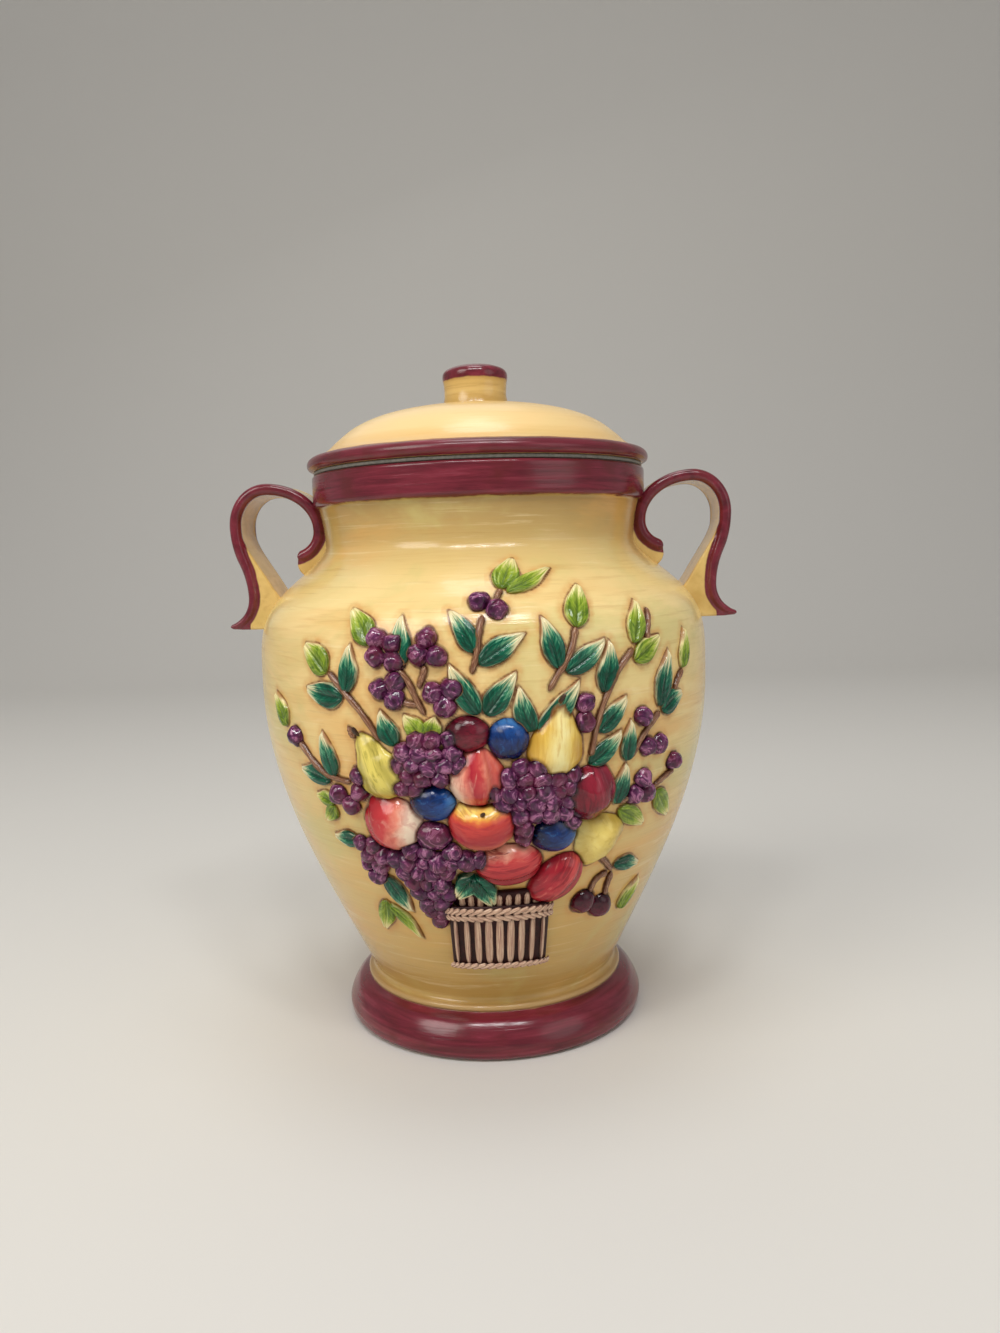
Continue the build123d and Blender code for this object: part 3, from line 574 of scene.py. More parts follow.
def stem(piece, places, radius, seed, proud=0.35, wander=0.25):
    """Stalk that follows the wall through its places, thinner at its end."""
    rng = np.random.default_rng(seed)
    steps = max(10, int(sum(across(a, b)[0] for a, b in zip(places, places[1:])) / 0.7))
    line = curve_through(places, steps) if len(places) > 2 else even(places, steps)
    share = np.linspace(0, 1, steps)
    wander = wander * np.sin(share * rng.uniform(5, 9) + rng.uniform(0, 6))
    out, up = wall_normal(line[:, 1])
    turn = line[:, 0] / BELLY_RADIUS
    size = radius * (1.08 - 0.22 * share) * (1 + 0.07 * np.sin(share * 23 + seed))
    size = size * np.sqrt(np.clip(np.minimum(share, 1 - share) * steps / 2.2, 0.05, 1))
    tube(piece, on_wall(line[:, 0] + wander, line[:, 1], proud),
         np.stack([out * np.sin(turn), -out * np.cos(turn), up], 1), size, float(rng.uniform()), cols=14)


# ---------------------------------------------------------------- fruit of the relief
fruit("nectarine_right", "nectarine_red", OVAL, 18.0, 26.0, (34.0, 79.4), 2.0, 42, groove=25)
fruit("plum_blue_lower", "plum_blue", OVAL, 16.0, 18.4, (31.4, 98.2), 2.4, 90)
fruit("apple", "apple_glaze", APPLE, 26.5, 19.6, (2.2, 104.8), 4.4, nod=20, lump=0.2, stalk=(0.33, 6.4))
fruit("plum_blue_left", "plum_blue", OVAL, 15.2, 18.0, (-16.4, 112.4), 2.2, 90)
fruit("nectarine_left", "nectarine_red", OVAL, 19.2, 26.2, (12.6, 87.0), 2.8, 84, groove=25)
fruit("grape_large", "grape_purple", OVAL, 12.4, 14.6, (-17.8, 99.6), 1.0, 90, lump=0.2)
fruit("peach_left", "peach_glaze", PEACH, 28.0, 27.4, (-35.4, 104.8), 6.6, -28, groove=-38)
fruit("plum_blue_upper", "plum_blue", OVAL, 16.4, 17.0, (12.7, 136.0), 3.2)
fruit("plum_red", "plum_red", OVAL, 14.6, 17.4, (-1.8, 138.2), 2.8, 90)
fruit("peach_upper", "peach_glaze", PEACH, 23.4, 24.4, (1.0, 122.8), 4.8, 4, nod=12, groove=34)
fruit("pear_right", "pear_glaze", PEAR, 23.4, 31.0, (30.4, 135.6), 5.0, 4, 9, lump=0.2, stalk=(0.42, 3.8))
fruit("striped_plum", "plum_red", OVAL, 22.5, 23.4, (44.4, 113.4), 3.2, -8, ribs=5, lump=0.35)
fruit("quince", "pear_glaze", QUINCE, 22.5, 25.0, (51.6, 93.0), 4.6, 14, ribs=4, lump=0.3)
fruit("pear_left", "pear_glaze", PEAR, 20.5, 28.0, (-38.0, 126.4), 4.0, -24, 10, lump=0.25, ribs=6,
      stalk=(0.45, 2.6))

bunches = {
    "grapes_upper_left": ((-16.0, 130.0), 15.0, [
        (136.5, (-20.2, -14.1, -8.4)),
        (132.0, (-25.6, -19.5, -13.5, -7.4)),
        (127.2, (-27.9, -22.2, -16.2, -10.1, -5.0)),
        (122.6, (-24.6, -18.8, -12.8)),
        (118.4, (-27.3, -21.7)),
    ]),
    "grapes_right": ((22.7, 113.0), 19.0, [
        (125.2, (17.2, 23.2)),
        (121.2, (12.5, 18.5, 24.6, 30.6, 36.0)),
        (116.6, (6.7, 12.8, 18.8, 24.9, 31.0, 36.3)),
        (112.0, (10.1, 16.2, 22.2, 28.3, 34.3)),
        (107.4, (16.2, 22.2, 28.3, 34.3, 40.0)),
        (102.8, (17.8, 38.0)),
        (98.4, (18.2,)),
    ]),
    "grapes_lower": ((-21.9, 84.0), 24.0, [
        (93.6, (-52.5, -46.1, -27.6, -21.5, -10.8)),
        (89.4, (-49.5, -42.7, -36.0, -29.9, -23.9, -17.5, -11.4, -5.0, 0.7)),
        (85.0, (-52.2, -45.8, -33.0, -26.9, -20.5, -14.5)),
        (80.4, (-48.8, -29.3, -23.2, -17.2)),
        (76.0, (-27.3, -20.9, -14.8)),
        (71.4, (-24.9, -18.5)),
        (67.0, (-24.2, -18.5)),
        (62.8, (-21.5,)),
    ]),
}
for name, (middle, spread, rows) in bunches.items():
    bunch = glazed(name, "grape_purple")
    rng = np.random.default_rng(len(name))
    for height, row in rows:
        for around in row:
            away, _ = across(middle, (around, height))
            proud = 1.7 * max(1 - (away / spread) ** 2, 0.1)
            place = (around + rng.uniform(-0.4, 0.4), height + rng.uniform(-0.4, 0.4))
            small_ball(bunch, place, proud, GRAPE_RADIUS * rng.uniform(0.88, 1.1), int(rng.integers(1000)))

cherries = glazed("cherries", "cherry_glaze")
for number, place in enumerate(((51.5, 66.2), (63.8, 62.2))):
    small_ball(cherries, place, -0.8, CHERRY_RADIUS, 40 + number, MEDIUM, 0.06, (1, 1.06, 1))

berries = {
    "berries_left": (
        (-35.0, 172.6), (-28.3, 170.6), (-34.7, 166.2), (-27.6, 164.4), (-15.5, 172.6), (-18.5, 166.6),
        (-11.8, 166.4), (-27.3, 157.2), (-33.6, 154.4), (-27.6, 150.8), (-13.5, 153.2), (-6.9, 154.6),
        (-9.4, 148.4), (-78.6, 134.3), (-45.4, 122.0), (-46.8, 115.6), (-58.2, 113.4), (-52.5, 109.6),
    ),
    "berries_top": ((3.7, 184.4), (10.4, 181.6)),
    "berries_right": (
        (41.4, 147.2), (41.1, 140.4), (67.3, 139.8), (71.0, 127.8), (77.7, 127.4), (90.2, 118.9),
        (70.7, 115.2), (67.3, 109.2), (74.4, 109.0),
    ),
}
for name, places in berries.items():
    group = glazed(name, "berry_purple")
    for number, place in enumerate(places):
        small_ball(group, place, 0.2, BERRY_RADIUS, 100 + 7 * number + len(name), MEDIUM, 0.22)

leaves = {
    "teal_leaves_top": ("leaf_teal", (
        ((1.7, 167.0), (-7.7, 182.0), 8.4), ((2.7, 163.0), (20.2, 173.4), 9.1),
        ((2.7, 145.2), (-7.7, 163.6), 9.1), ((4.7, 144.8), (16.2, 160.2), 9.6),
        ((31.6, 160.0), (26.6, 179.0), 8.7), ((34.0, 158.6), (50.8, 170.0), 9.1),
        ((21.5, 138.0), (16.8, 155.0), 8.7), ((23.2, 137.6), (39.7, 156.0), 9.1),
    )),
    "teal_leaves_right": ("leaf_teal", (
        ((48.8, 150.0), (52.2, 169.4), 9.3), ((46.4, 136.0), (59.6, 148.6), 8.7),
        ((43.1, 124.0), (57.5, 136.0), 8.9), ((60.6, 123.2), (61.6, 139.2), 7.5),
        ((57.5, 106.6), (60.6, 123.0), 8.4), ((76.4, 142.0), (83.1, 163.8), 9.6),
        ((78.1, 140.4), (92.5, 146.4), 9.6), ((64.9, 80.4), (84.1, 77.6), 7.5),
    )),
    "teal_leaves_left": ("leaf_teal", (
        ((-25.6, 161.6), (-25.7, 181.0), 9.1), ((-48.1, 152.6), (-46.1, 171.0), 8.7),
        ((-49.5, 150.8), (-69.3, 154.0), 10.7), ((-28.3, 134.0), (-34.0, 147.2), 8.7),
        ((-58.2, 120.4), (-61.9, 138.0), 8.7), ((-61.2, 118.4), (-79.8, 122.0), 8.2),
        ((-53.2, 95.0), (-69.0, 95.6), 7.5), ((-44.8, 80.6), (-35.7, 64.4), 9.1),
    )),
    "olive_leaves_left": ("leaf_olive", (
        ((-37.7, 170.0), (-48.5, 183.2), 10.0), ((-56.9, 159.8), (-69.7, 170.6), 11.4),
        ((-18.5, 136.4), (-24.9, 145.8), 8.4), ((-15.1, 138.2), (-13.1, 145.0), 7.8),
        ((-84.8, 137.4), (-93.2, 150.6), 9.1), ((-61.9, 109.8), (-72.7, 112.2), 6.6),
        ((-62.3, 108.0), (-70.7, 101.2), 6.6), ((-50.1, 68.6), (-58.6, 53.2), 8.0),
        ((-48.5, 67.4), (-35.0, 51.6), 5.7),
    )),
    "olive_leaves_top": ("leaf_olive", (
        ((12.5, 188.4), (19.9, 199.6), 10.7), ((14.8, 187.2), (36.7, 195.6), 7.5),
        ((39.4, 174.0), (45.8, 189.6), 10.0),
    )),
    "olive_leaves_right": ("leaf_olive", (
        ((63.3, 167.0), (70.0, 183.0), 8.7), ((63.3, 160.6), (78.4, 169.4), 9.2),
        ((59.9, 104.4), (77.7, 95.2), 8.9), ((92.5, 155.0), (96.2, 171.0), 7.3),
        ((81.4, 108.4), (96.9, 94.8), 9.1), ((81.8, 56.4), (91.2, 70.0), 9.1),
    )),
    "basket_leaf": ("leaf_teal", (
        ((-2.0, 83.6), (-11.4, 73.8), 9.8), ((-2.7, 83.4), (5.7, 69.8), 9.8),
    )),
}
for name, (slot, places) in leaves.items():
    group = glazed(name, slot)
    for number, (base, tip, width) in enumerate(places):
        leaf(group, base, tip, width, 10 * len(name) + number, rise=4.6 if name == "basket_leaf" else 2.1)

stems = {
    "stems_left": (
        ((-56.5, 160.2), (-44.1, 148.4), (-34.7, 135.6)), ((-29.6, 163.2), (-23.2, 158.0), (-16.7, 145.4)),
        ((-26.2, 150.4), (-19.2, 148.6)), ((-16.2, 163.0), (-18.2, 154.8)),
        ((-77.4, 132.8), (-64.6, 121.8), (-50.8, 118.6)), ((-45.4, 136.2), (-48.5, 140.4)),
    ),
    "stems_top": (
        ((12.8, 188.2), (9.8, 184.6)), ((4.7, 179.6), (2.7, 169.4), (0.7, 159.8)),
        ((39.4, 174.4), (35.0, 164.2), (27.6, 152.4)),
    ),
    "stems_right": (
        ((62.9, 165.2), (55.2, 157.0), (46.9, 141.6), (43.7, 127.0)), ((70.3, 167.4), (75.0, 179.4)),
        ((77.1, 140.2), (68.6, 133.0), (62.9, 124.0)), ((92.5, 154.8), (85.8, 147.4)),
        ((91.5, 115.4), (78.4, 110.4)), ((58.6, 107.4), (66.3, 108.6)),
    ),
    "cherry_stems": (
        ((52.5, 87.2), (64.9, 78.0)), ((61.9, 77.6), (56.5, 75.4), (53.2, 68.6)), ((64.6, 77.0), (64.9, 66.0)),
    ),
}
for name, stalks in stems.items():
    group = glazed(name, "stem_brown")
    for number, places in enumerate(stalks):
        stem(group, places, STEM_RADIUS, 5 * number + len(name))


# ---------------------------------------------------------------- basket
def basket_point(sweep_angle, level, grow):
    """Point on the half-round front of the basket, grown by a depth."""
    share = (level - BASKET_LOW) / (BASKET_HIGH - BASKET_LOW)
    width = BASKET_BASE_WIDTH + (BASKET_RIM_WIDTH - BASKET_BASE_WIDTH) * share
    turn = BASKET_AROUND / BELLY_RADIUS
    x = (width / 2 + grow) * np.sin(sweep_angle)
    out = wall_radius(level) + (BASKET_PROUD + grow) * np.cos(sweep_angle)
    return np.stack([
        out * math.sin(turn) + x * math.cos(turn), out * -math.cos(turn) + x * math.sin(turn), level], -1)


def strand(piece, start, end, radius, grow, seed, flat=0.75, rows=14):
    """One strand of the weave between two (sweep, level) places on the basket's front."""
    t = np.linspace(0, 1, rows)
    sweeps, levels = (a + (b - a) * t for a, b in zip(start, end))
    centre = basket_point(sweeps, levels, grow)
    outward = basket_point(sweeps, levels, grow + 1.0) - centre
    size = radius * np.sqrt(np.clip(1 - np.abs(2 * t - 1) ** 4, 0.03, 1))
    tube(piece, centre, outward, size, float(np.random.default_rng(seed).uniform()), cols=12, flat=flat)


levels, sweeps = grid(np.linspace(BASKET_LOW, BASKET_HIGH, 16), np.radians(np.linspace(-89, 89, 60)))
block(glazed("basket_wall", "basket_gap"), basket_point(sweeps, levels, 0.0),
      basket_point(sweeps * 0.98, levels, -BASKET_PROUD - 0.6))

from_middle = np.arange(SLATS) - SLATS // 2
slats = glazed("basket_slats", "basket_glaze")
for number, step in enumerate(from_middle):
    low_at = math.asin(step * 4.0 / (BASKET_BASE_WIDTH / 2))
    high_at = math.asin(step * 4.25 / (BASKET_RIM_WIDTH / 2))
    radius = 1.6 * (0.5 + 0.5 * math.cos(low_at))
    strand(slats, (low_at, 42.4), (high_at, 65.4), radius, 0.1, number, flat=0.6, rows=26)

rim_band = glazed("basket_rim_band", "basket_glaze")
foot_band = glazed("basket_foot_band", "basket_glaze")
slant = math.radians(19)
for number in range(BAND_STRANDS):
    at = math.radians(-86 + 10 * number)
    strand(rim_band, (at, 66.5), (at + slant, 69.3), 0.84, 1.1, number)
    strand(rim_band, (at + slant, 63.8), (at, 66.4), 0.84, 1.1, number + 50)
    at = math.radians(-84 + 9.8 * number)
    strand(foot_band, (at, 40.7), (at + slant, 43.0), 0.8, 1.0, number + 90)

levels, sideways = grid(np.linspace(BASKET_HIGH, FAR_RIM_HIGH, 8), np.linspace(-1, 1, 48))
around = BASKET_AROUND + sideways * FAR_RIM_WIDTH / 2 * BELLY_RADIUS / wall_radius(levels)
proud = FAR_RIM_PROUD * np.sqrt(np.clip(1 - sideways**2, 0, 1))
block(glazed("basket_far_rim", "basket_gap"), on_wall(around, levels, proud), on_wall(around, levels, -SUNK))
far_slats = glazed("basket_far_rim", "basket_glaze", "jar", "basket_far_slats_glazed")
for number, step in enumerate(from_middle):
    at = BASKET_AROUND + step * 4.3
    proud = 0.75 * FAR_RIM_PROUD * math.sqrt(1 - (step * 3.4 / (FAR_RIM_WIDTH / 2)) ** 2)
    stem(far_slats, ((at, BASKET_HIGH - 0.6), (at, FAR_RIM_HIGH - 0.5)), 1.3, number, proud, wander=0.0)


# ---------------------------------------------------------------- closeness, for the painted shade in crevices and the wall's brown halo and outline
relief = [piece for piece in pieces if piece.node not in ("jar_body", "lid_dome", "lid_knob", "lid_seal")]
trees = {}
for piece in relief:
    points = piece.all_points()
    tree = BVHTree.FromPolygons(points.tolist(), piece.faces)
    trees[piece.name] = tree, points.min(0) - 2.5, points.max(0) + 2.5


def closeness(points, skip, reach):
    """Distance of each point to the nearest other relief piece, up to a reach."""
    near = np.full(len(points), reach)
    for name, (tree, low, high) in trees.items():
        if name == skip:
            continue
        for index in np.nonzero(((points > low) & (points < high)).all(1))[0]:
            found = tree.find_nearest(Vector(points[index]), near[index])
            if found[3] is not None:
                near[index] = found[3]
    return near


def off_wall(points):
    """How far out from the wall of the jar points are, level with them."""
    return np.hypot(points[:, 0], points[:, 1]) - wall_radius(points[:, 2])


for piece in relief:
    points = piece.all_points()
    piece.values["gap"] = [closeness(points, piece.name, RELIEF_REACH)]
    piece.values["lift"] = [off_wall(points) * wall_normal(points[:, 2])[0]]
points = jar.all_points()
facing = (points[:, 1] < -20) & (points[:, 2] > 38) & (points[:, 2] < 204) & (off_wall(points) > -1)
wash = np.full(len(points), WALL_REACH)
wash[facing] = closeness(points[facing], None, WALL_REACH)
jar.values["gap"] = [wash]


# ---------------------------------------------------------------- glazes
def srgb(*colour):
    """A colour of 0 to 255 in Blender's linear values."""
    return *(((c / 255 + 0.055) / 1.055) ** 2.4 if c > 10 else c / 255 / 12.92 for c in colour), 1.0


class Field:
    """A value over the surface, from a node's output. It is worked with as a number is."""

    def __init__(self, glaze, socket):
        self.glaze, self.socket = glaze, socket

    def __add__(self, other):
        return self.glaze.math("ADD", self, other)

    def __sub__(self, other):
        return self.glaze.math("SUBTRACT", self, other)

    def __mul__(self, other):
        return self.glaze.math("MULTIPLY", self, other)

    def __abs__(self):
        return self.glaze.math("ABSOLUTE", self)


class Glaze:
    """A glossy glaze whose colour is built up node by node."""

    def __init__(self, name, roughness, coat=0.0, specular=0.5):
        self.material = bpy.data.materials.new(name)
        self.material.use_nodes = True
        self.tree = self.material.node_tree
        self.tree.nodes.clear()
        self.shader = self.tree.nodes.new("ShaderNodeBsdfPrincipled")
        output = self.tree.nodes.new("ShaderNodeOutputMaterial")
        self.tree.links.new(self.shader.outputs[0], output.inputs[0])
        self.settings(self.shader, ("Roughness", roughness), ("Coat Weight", coat), ("Coat Roughness", 0.05),
                      ("IOR", 1.5), ("Specular IOR Level", specular))
        self.place = self.node("ShaderNodeTexCoord", output="Object")

    def node(self, kind, *given, output=0, **settings):
        """Output of a new node, given its first inputs in order."""
        made = self.tree.nodes.new(kind)
        for key, value in settings.items():
            setattr(made, key, value)
        for socket, value in zip(made.inputs, given):
            self.put(socket, value)
        return Field(self, made.outputs[output])

    def settings(self, node, *rows):
        for key, value in rows:
            node.inputs[key].default_value = value

    def put(self, socket, value):
        if isinstance(value, Field):
            self.tree.links.new(value.socket, socket)
        else:
            socket.default_value = value

    def math(self, operation, a, b=0.0):
        return self.node("ShaderNodeMath", a, b, operation=operation)

    def value(self, name):
        return self.node("ShaderNodeAttribute", output="Fac", attribute_name=name)

    def axis(self, letter):
        return self.node("ShaderNodeSeparateXYZ", self.place, output=letter)

    def vector(self, x, y, z):
        return self.node("ShaderNodeCombineXYZ", x, y, z)

    def scaled(self, size):
        made = self.node("ShaderNodeMapping", self.place)
        made.socket.node.inputs["Scale"].default_value = size if isinstance(size, tuple) else (size,) * 3
        return made

    def noise(self, vector, scale=1.0, detail=4.0, rough=0.5, distortion=0.0):
        made = self.node("ShaderNodeTexNoise", vector)
        self.settings(made.socket.node, ("Scale", scale), ("Detail", detail), ("Roughness", rough),
                      ("Distortion", distortion))
        return made

    def grain(self, size, *settings):
        """Noise in the object's own space, with so many bumps to the metre along each axis."""
        return self.noise(self.scaled(size), 1.0, *settings)

    def between(self, value, low, high, start=0.0, end=1.0):
        """Smooth passage from start to end where the value goes from low to high."""
        return self.node("ShaderNodeMapRange", value, low, high, start, end, interpolation_type="SMOOTHSTEP")

    def past(self, value, edge, blur=0.3):
        """0 before an edge and 1 past it, in millimetres, or the other way round for a blur below 0."""
        return self.between(value, (edge - blur) / MM, (edge + blur) / MM)

    def radius(self):
        return self.node("ShaderNodeVectorMath", self.scaled((1, 1, 0)), output="Value", operation="LENGTH")

    def ramp(self, value, *stops):
        made = self.node("ShaderNodeValToRGB", value)
        elements = made.socket.node.color_ramp.elements
        elements.remove(elements[1])
        elements[0].position, elements[0].color = stops[0][0], srgb(*stops[0][1])
        for place, colour in stops[1:]:
            elements.new(place).color = srgb(*colour)
        return made

    def mix(self, share, a, b):
        made = self.tree.nodes.new("ShaderNodeMix")
        made.data_type, made.blend_type = "RGBA", "MIX"
        self.put(made.inputs[0], share)
        for socket, colour in ((made.inputs[6], a), (made.inputs[7], b)):
            self.put(socket, srgb(*colour) if isinstance(colour, tuple) else colour)
        return Field(self, made.outputs[2])

    def brushed(self, colour, *strokes):
        """Other colours laid on, up to a share, where a value goes from low to high."""
        for value, low, high, share, other in strokes:
            colour = self.mix(self.between(value, low, high, 0.0, share), colour, other)
        return colour

    def burgundy(self, along):
        """Streaky burgundy brushwork with plum, pink and brown in it."""
        streak = self.grain(along, 6.0, 0.62, 0.6)
        patch = self.grain(70, 3.0)
        colour = self.ramp(
            streak, (0.25, (72, 13, 24)), (0.44, (102, 24, 38)), (0.6, (122, 35, 50)), (0.8, (146, 62, 76)))
        return self.brushed(colour, (patch, 0.46, 0.78, 1.0, (96, 26, 28)))

    def painted_crevice_shade(self, colour, dark, strength, reach):
        """Painted shade in the crevices: the colour turns darker where a piece meets its neighbours or the
        wall.
        """
        mottling = self.grain(300, 3.0, 0.6)
        gap, lift = self.between(self.value("gap"), reach, 0.05), self.between(self.value("lift"), 0.85, 0.1)
        near = self.math("MAXIMUM", gap, lift) * self.between(mottling, 0.2, 0.6, 0.5 * strength, strength)
        return self.mix(near, colour, dark)

    def bump(self, height, strength, distance):
        made = self.node("ShaderNodeBump", strength, distance)
        self.put(made.socket.node.inputs["Height"], height)
        self.put(self.shader.inputs["Normal"], made)

    def done(self, colour):
        self.put(self.shader.inputs["Base Color"], colour)
        return self.material


def body_glaze():
    """Cream-yellow brushed round the jar, with burgundy collar and foot; darker towards the foot, partly the
    glaze's own tone and partly painted shade, and darker at the neck, which is painted shade under the collar.
    """
    g = Glaze("body_glaze", 0.18, 0.15)
    height, radius = g.axis("Z"), g.radius()
    fine = g.grain((34, 34, 900), 5.0, 0.6, 0.35)
    streak = g.grain((22, 22, 420), 5.0, 0.62, 0.5)
    broad = g.grain((10, 10, 40), 4.0, 0.55, 0.8)
    patch = g.grain((12, 12, 20), 5.0, 0.6, 0.5)
    # The ramp by height darkens towards the foot, partly the glaze's own tone and partly painted shade, and
    # darkens more at the neck as painted shade under the collar.
    base = g.ramp(
        g.math("DIVIDE", height, RIM_HEIGHT / MM),
        (0.08, (188, 150, 82)), (0.2, (210, 174, 100)), (0.36, (226, 194, 120)), (0.52, (238, 210, 138)),
        (0.74, (252, 224, 158)), (0.82, (238, 208, 138)), (0.88, (206, 174, 108)), (0.935, (178, 146, 84)))
    cream = g.brushed(
        base, (broad, 0.44, 0.7, 0.6, (232, 176, 98)), (patch, 0.47, 0.66, 0.62, (206, 196, 122)),
        (streak, 0.52, 0.8, 0.38, (196, 148, 74)), (fine, 0.55, 0.8, 0.3, (176, 130, 66)),
        (streak, 0.44, 0.22, 0.42, (255, 236, 186)))
    gap, mottling = g.value("gap"), g.grain(240, 3.0, 0.6)
    halo = g.between(gap, 4.0, 0.4) * g.between(mottling, 0.3, 0.72, 0.15, 0.7)
    line = g.between(gap, 0.9, 0.1) * g.between(mottling, 0.25, 0.6, 0.3, 0.95)
    cream = g.mix(line, g.mix(halo, cream, (218, 154, 80)), (104, 56, 28))
    lifted = height + (g.grain((90, 90, 30), 3.0) - 0.5) * 0.0022
    red = g.burgundy((30, 30, 420))
    collar = g.past(lifted, RED_COLLAR_LOW) * g.past(radius, BORE_RADIUS + 0.9)
    foot = g.past(lifted, RED_FOOT_TOP, -0.3) * g.past(radius, WAIST_RADIUS + 0.1)
    bead = g.past(height, BEAD_LOW) * g.past(height, BEAD_TOP, -0.3)
    colour = g.mix(foot, g.mix(collar, cream, red), red)
    colour = g.mix(bead * 0.75, colour, (186, 150, 98))
    colour = g.brushed(colour, (height, 0.0006, 0.0002, 1.0, (224, 208, 180)))
    g.bump(streak * 0.6 + (fine * 0.35 + patch), 0.4, 0.0006)
    return g.done(colour)


def lid_glaze():
    """Paler cream brushed round the dome, with a burgundy rim."""
    g = Glaze("lid_glaze", 0.26, 0.1)
    height = g.axis("Z")
    streak = g.grain((24, 24, 520), 5.0, 0.6, 0.4)
    patch = g.grain((20, 20, 30), 3.0, 0.5, 0.4)
    base = g.ramp(
        g.between(height, 0.243, 0.2655),
        (0.0, (228, 184, 112)), (0.25, (243, 206, 140)), (0.8, (243, 208, 142)), (1.0, (220, 180, 108)))
    cream = g.brushed(
        base, (streak, 0.5, 0.82, 0.45, (216, 170, 92)), (patch, 0.48, 0.78, 0.4, (222, 204, 138)))
    below = g.past(height + (g.grain((80, 80, 20)) - 0.5) * 0.0012, RED_LID_TOP, -0.3)
    above = g.past(height, LID_LOW, 0.2)
    outside = g.past(g.radius(), PLUG_RADIUS + 1.9, 0.5)
    g.bump(streak, 0.25, 0.0005)
    return g.done(g.mix(below * above * outside, cream, g.burgundy((34, 34, 460))))


def knob_glaze():
    """Cream brushed round the knob, with a burgundy cap."""
    g = Glaze("knob_glaze", 0.18, 0.2)
    height = g.axis("Z")
    streak = g.grain((40, 40, 620), 5.0, 0.6, 0.4)
    base = g.ramp(
        g.between(height, 0.265, 0.2774),
        (0.0, (196, 158, 84)), (0.4, (226, 192, 118)), (0.85, (216, 180, 104)), (1.0, (190, 150, 78)))
    cream = g.brushed(base, (streak, 0.45, 0.75, 0.6, (182, 138, 68)))
    cap = g.past(height + (g.grain((200, 200, 60)) - 0.5) * 0.0016, RED_CAP_LOW, 0.35)
    g.bump(streak, 0.25, 0.0005)
    return g.done(g.mix(cap, cream, g.burgundy((150, 90, 200))))


def handle_glaze():
    """Cream brushed along the handle, with burgundy on both edges of its ribbon."""
    g = Glaze("handle_glaze", 0.18, 0.2)
    streak = g.grain((300, 30, 300), 5.0, 0.6, 0.4)
    patch = g.grain(60, 3.0)
    base = g.ramp(patch, (0.3, (198, 160, 84)), (0.52, (226, 192, 116)), (0.75, (206, 174, 96)))
    cream = g.brushed(base, (streak, 0.48, 0.8, 0.5, (190, 148, 74)))
    wobble = (g.grain(130, 3.0) - 0.5) * 0.0018
    edge = g.past(abs(g.axis("Y")) + wobble, RED_HANDLE_EDGE)
    near = g.between(g.value("away") + wobble * 600.0, 3.5, 2.9)
    g.bump(streak + patch, 0.25, 0.0005)
    return g.done(g.mix(edge * near, cream, g.burgundy(140)))


def seal_rubber():
    g = Glaze("seal_rubber", 0.55)
    speck = g.grain(900, 3.0)
    g.bump(speck, 0.2, 0.0001)
    # The grey is darker than the white silicone it stands for: painted shade of the narrow gap between the lid
    # and the rim.
    return g.done(g.ramp(speck, (0.3, (112, 110, 102)), (0.7, (142, 140, 130))))


painted = {}


def fruit_glaze(name, direction, strokes, share, stroke, light, dark, *stops, seed=0.0, blur=0.45, stalk=False):
    """Fruit painted wet in wet along a direction, with brush strokes over it, so many across and along."""
    g = Glaze(name, 0.07)
    side, along = g.value("side"), g.value("along")
    brush = g.noise(g.vector(side * strokes[0], along * strokes[1], seed), 1.0, 6.0, 0.65, 0.6)
    soft = g.noise(g.vector(side, along, seed + 3.0), 1.8, 3.0, 0.5, 0.5)
    grade = side * (direction[0] / 2) + along * (direction[1] / 2) + 0.5 + (soft - 0.5) * blur
    colour = g.brushed(
        g.ramp(grade, *stops), (brush, 0.49, 0.62, share, stroke), (brush, 0.45, 0.32, share * 0.8, light))
    # Darker along the groove and between the ribs, in the stroke colour: painted shade in the creases.
    colour = g.mix(g.value("crease") * 0.6, colour, stroke)
    if stalk:
        colour = g.brushed(colour, (g.value("stalk"), 0.4, 0.6, 1.0, (58, 34, 20)))
    g.bump(brush, 0.35, 0.0005)
    # Painted shade where the fruit meets its neighbours or the wall.
    painted[name] = g.done(g.painted_crevice_shade(colour, dark, 1.0, 1.5))


def purple_glaze():
    """Mottled purple of the grapes and berries, with pink and dark curls."""
    g = Glaze("purple_glaze", 0.07)
    own = g.value("own")
    moved = g.node("ShaderNodeVectorMath", g.scaled(200), g.vector(own * 9.0, own, own), operation="ADD")
    curl = g.noise(moved, 0.8, 3.0, 0.6, 1.9)
    soft = g.grain(90, 3.0)
    colour = g.ramp(
        curl, (0.3, (38, 8, 30)), (0.44, (72, 27, 63)), (0.54, (104, 46, 88)), (0.61, (176, 112, 148)),
        (0.68, (84, 32, 66)))
    colour = g.brushed(colour, (soft, 0.45, 0.66, 0.5, (112, 36, 52)))
    colour = g.mix(g.between(g.value("dot"), 0.35, 0.9) * 0.7, colour, (44, 14, 30))
    g.bump(curl, 0.35, 0.0005)
    # Painted shade where a grape or berry meets its neighbours or the wall.
    return g.done(g.painted_crevice_shade(colour, (34, 10, 24), 1.0, 1.3))


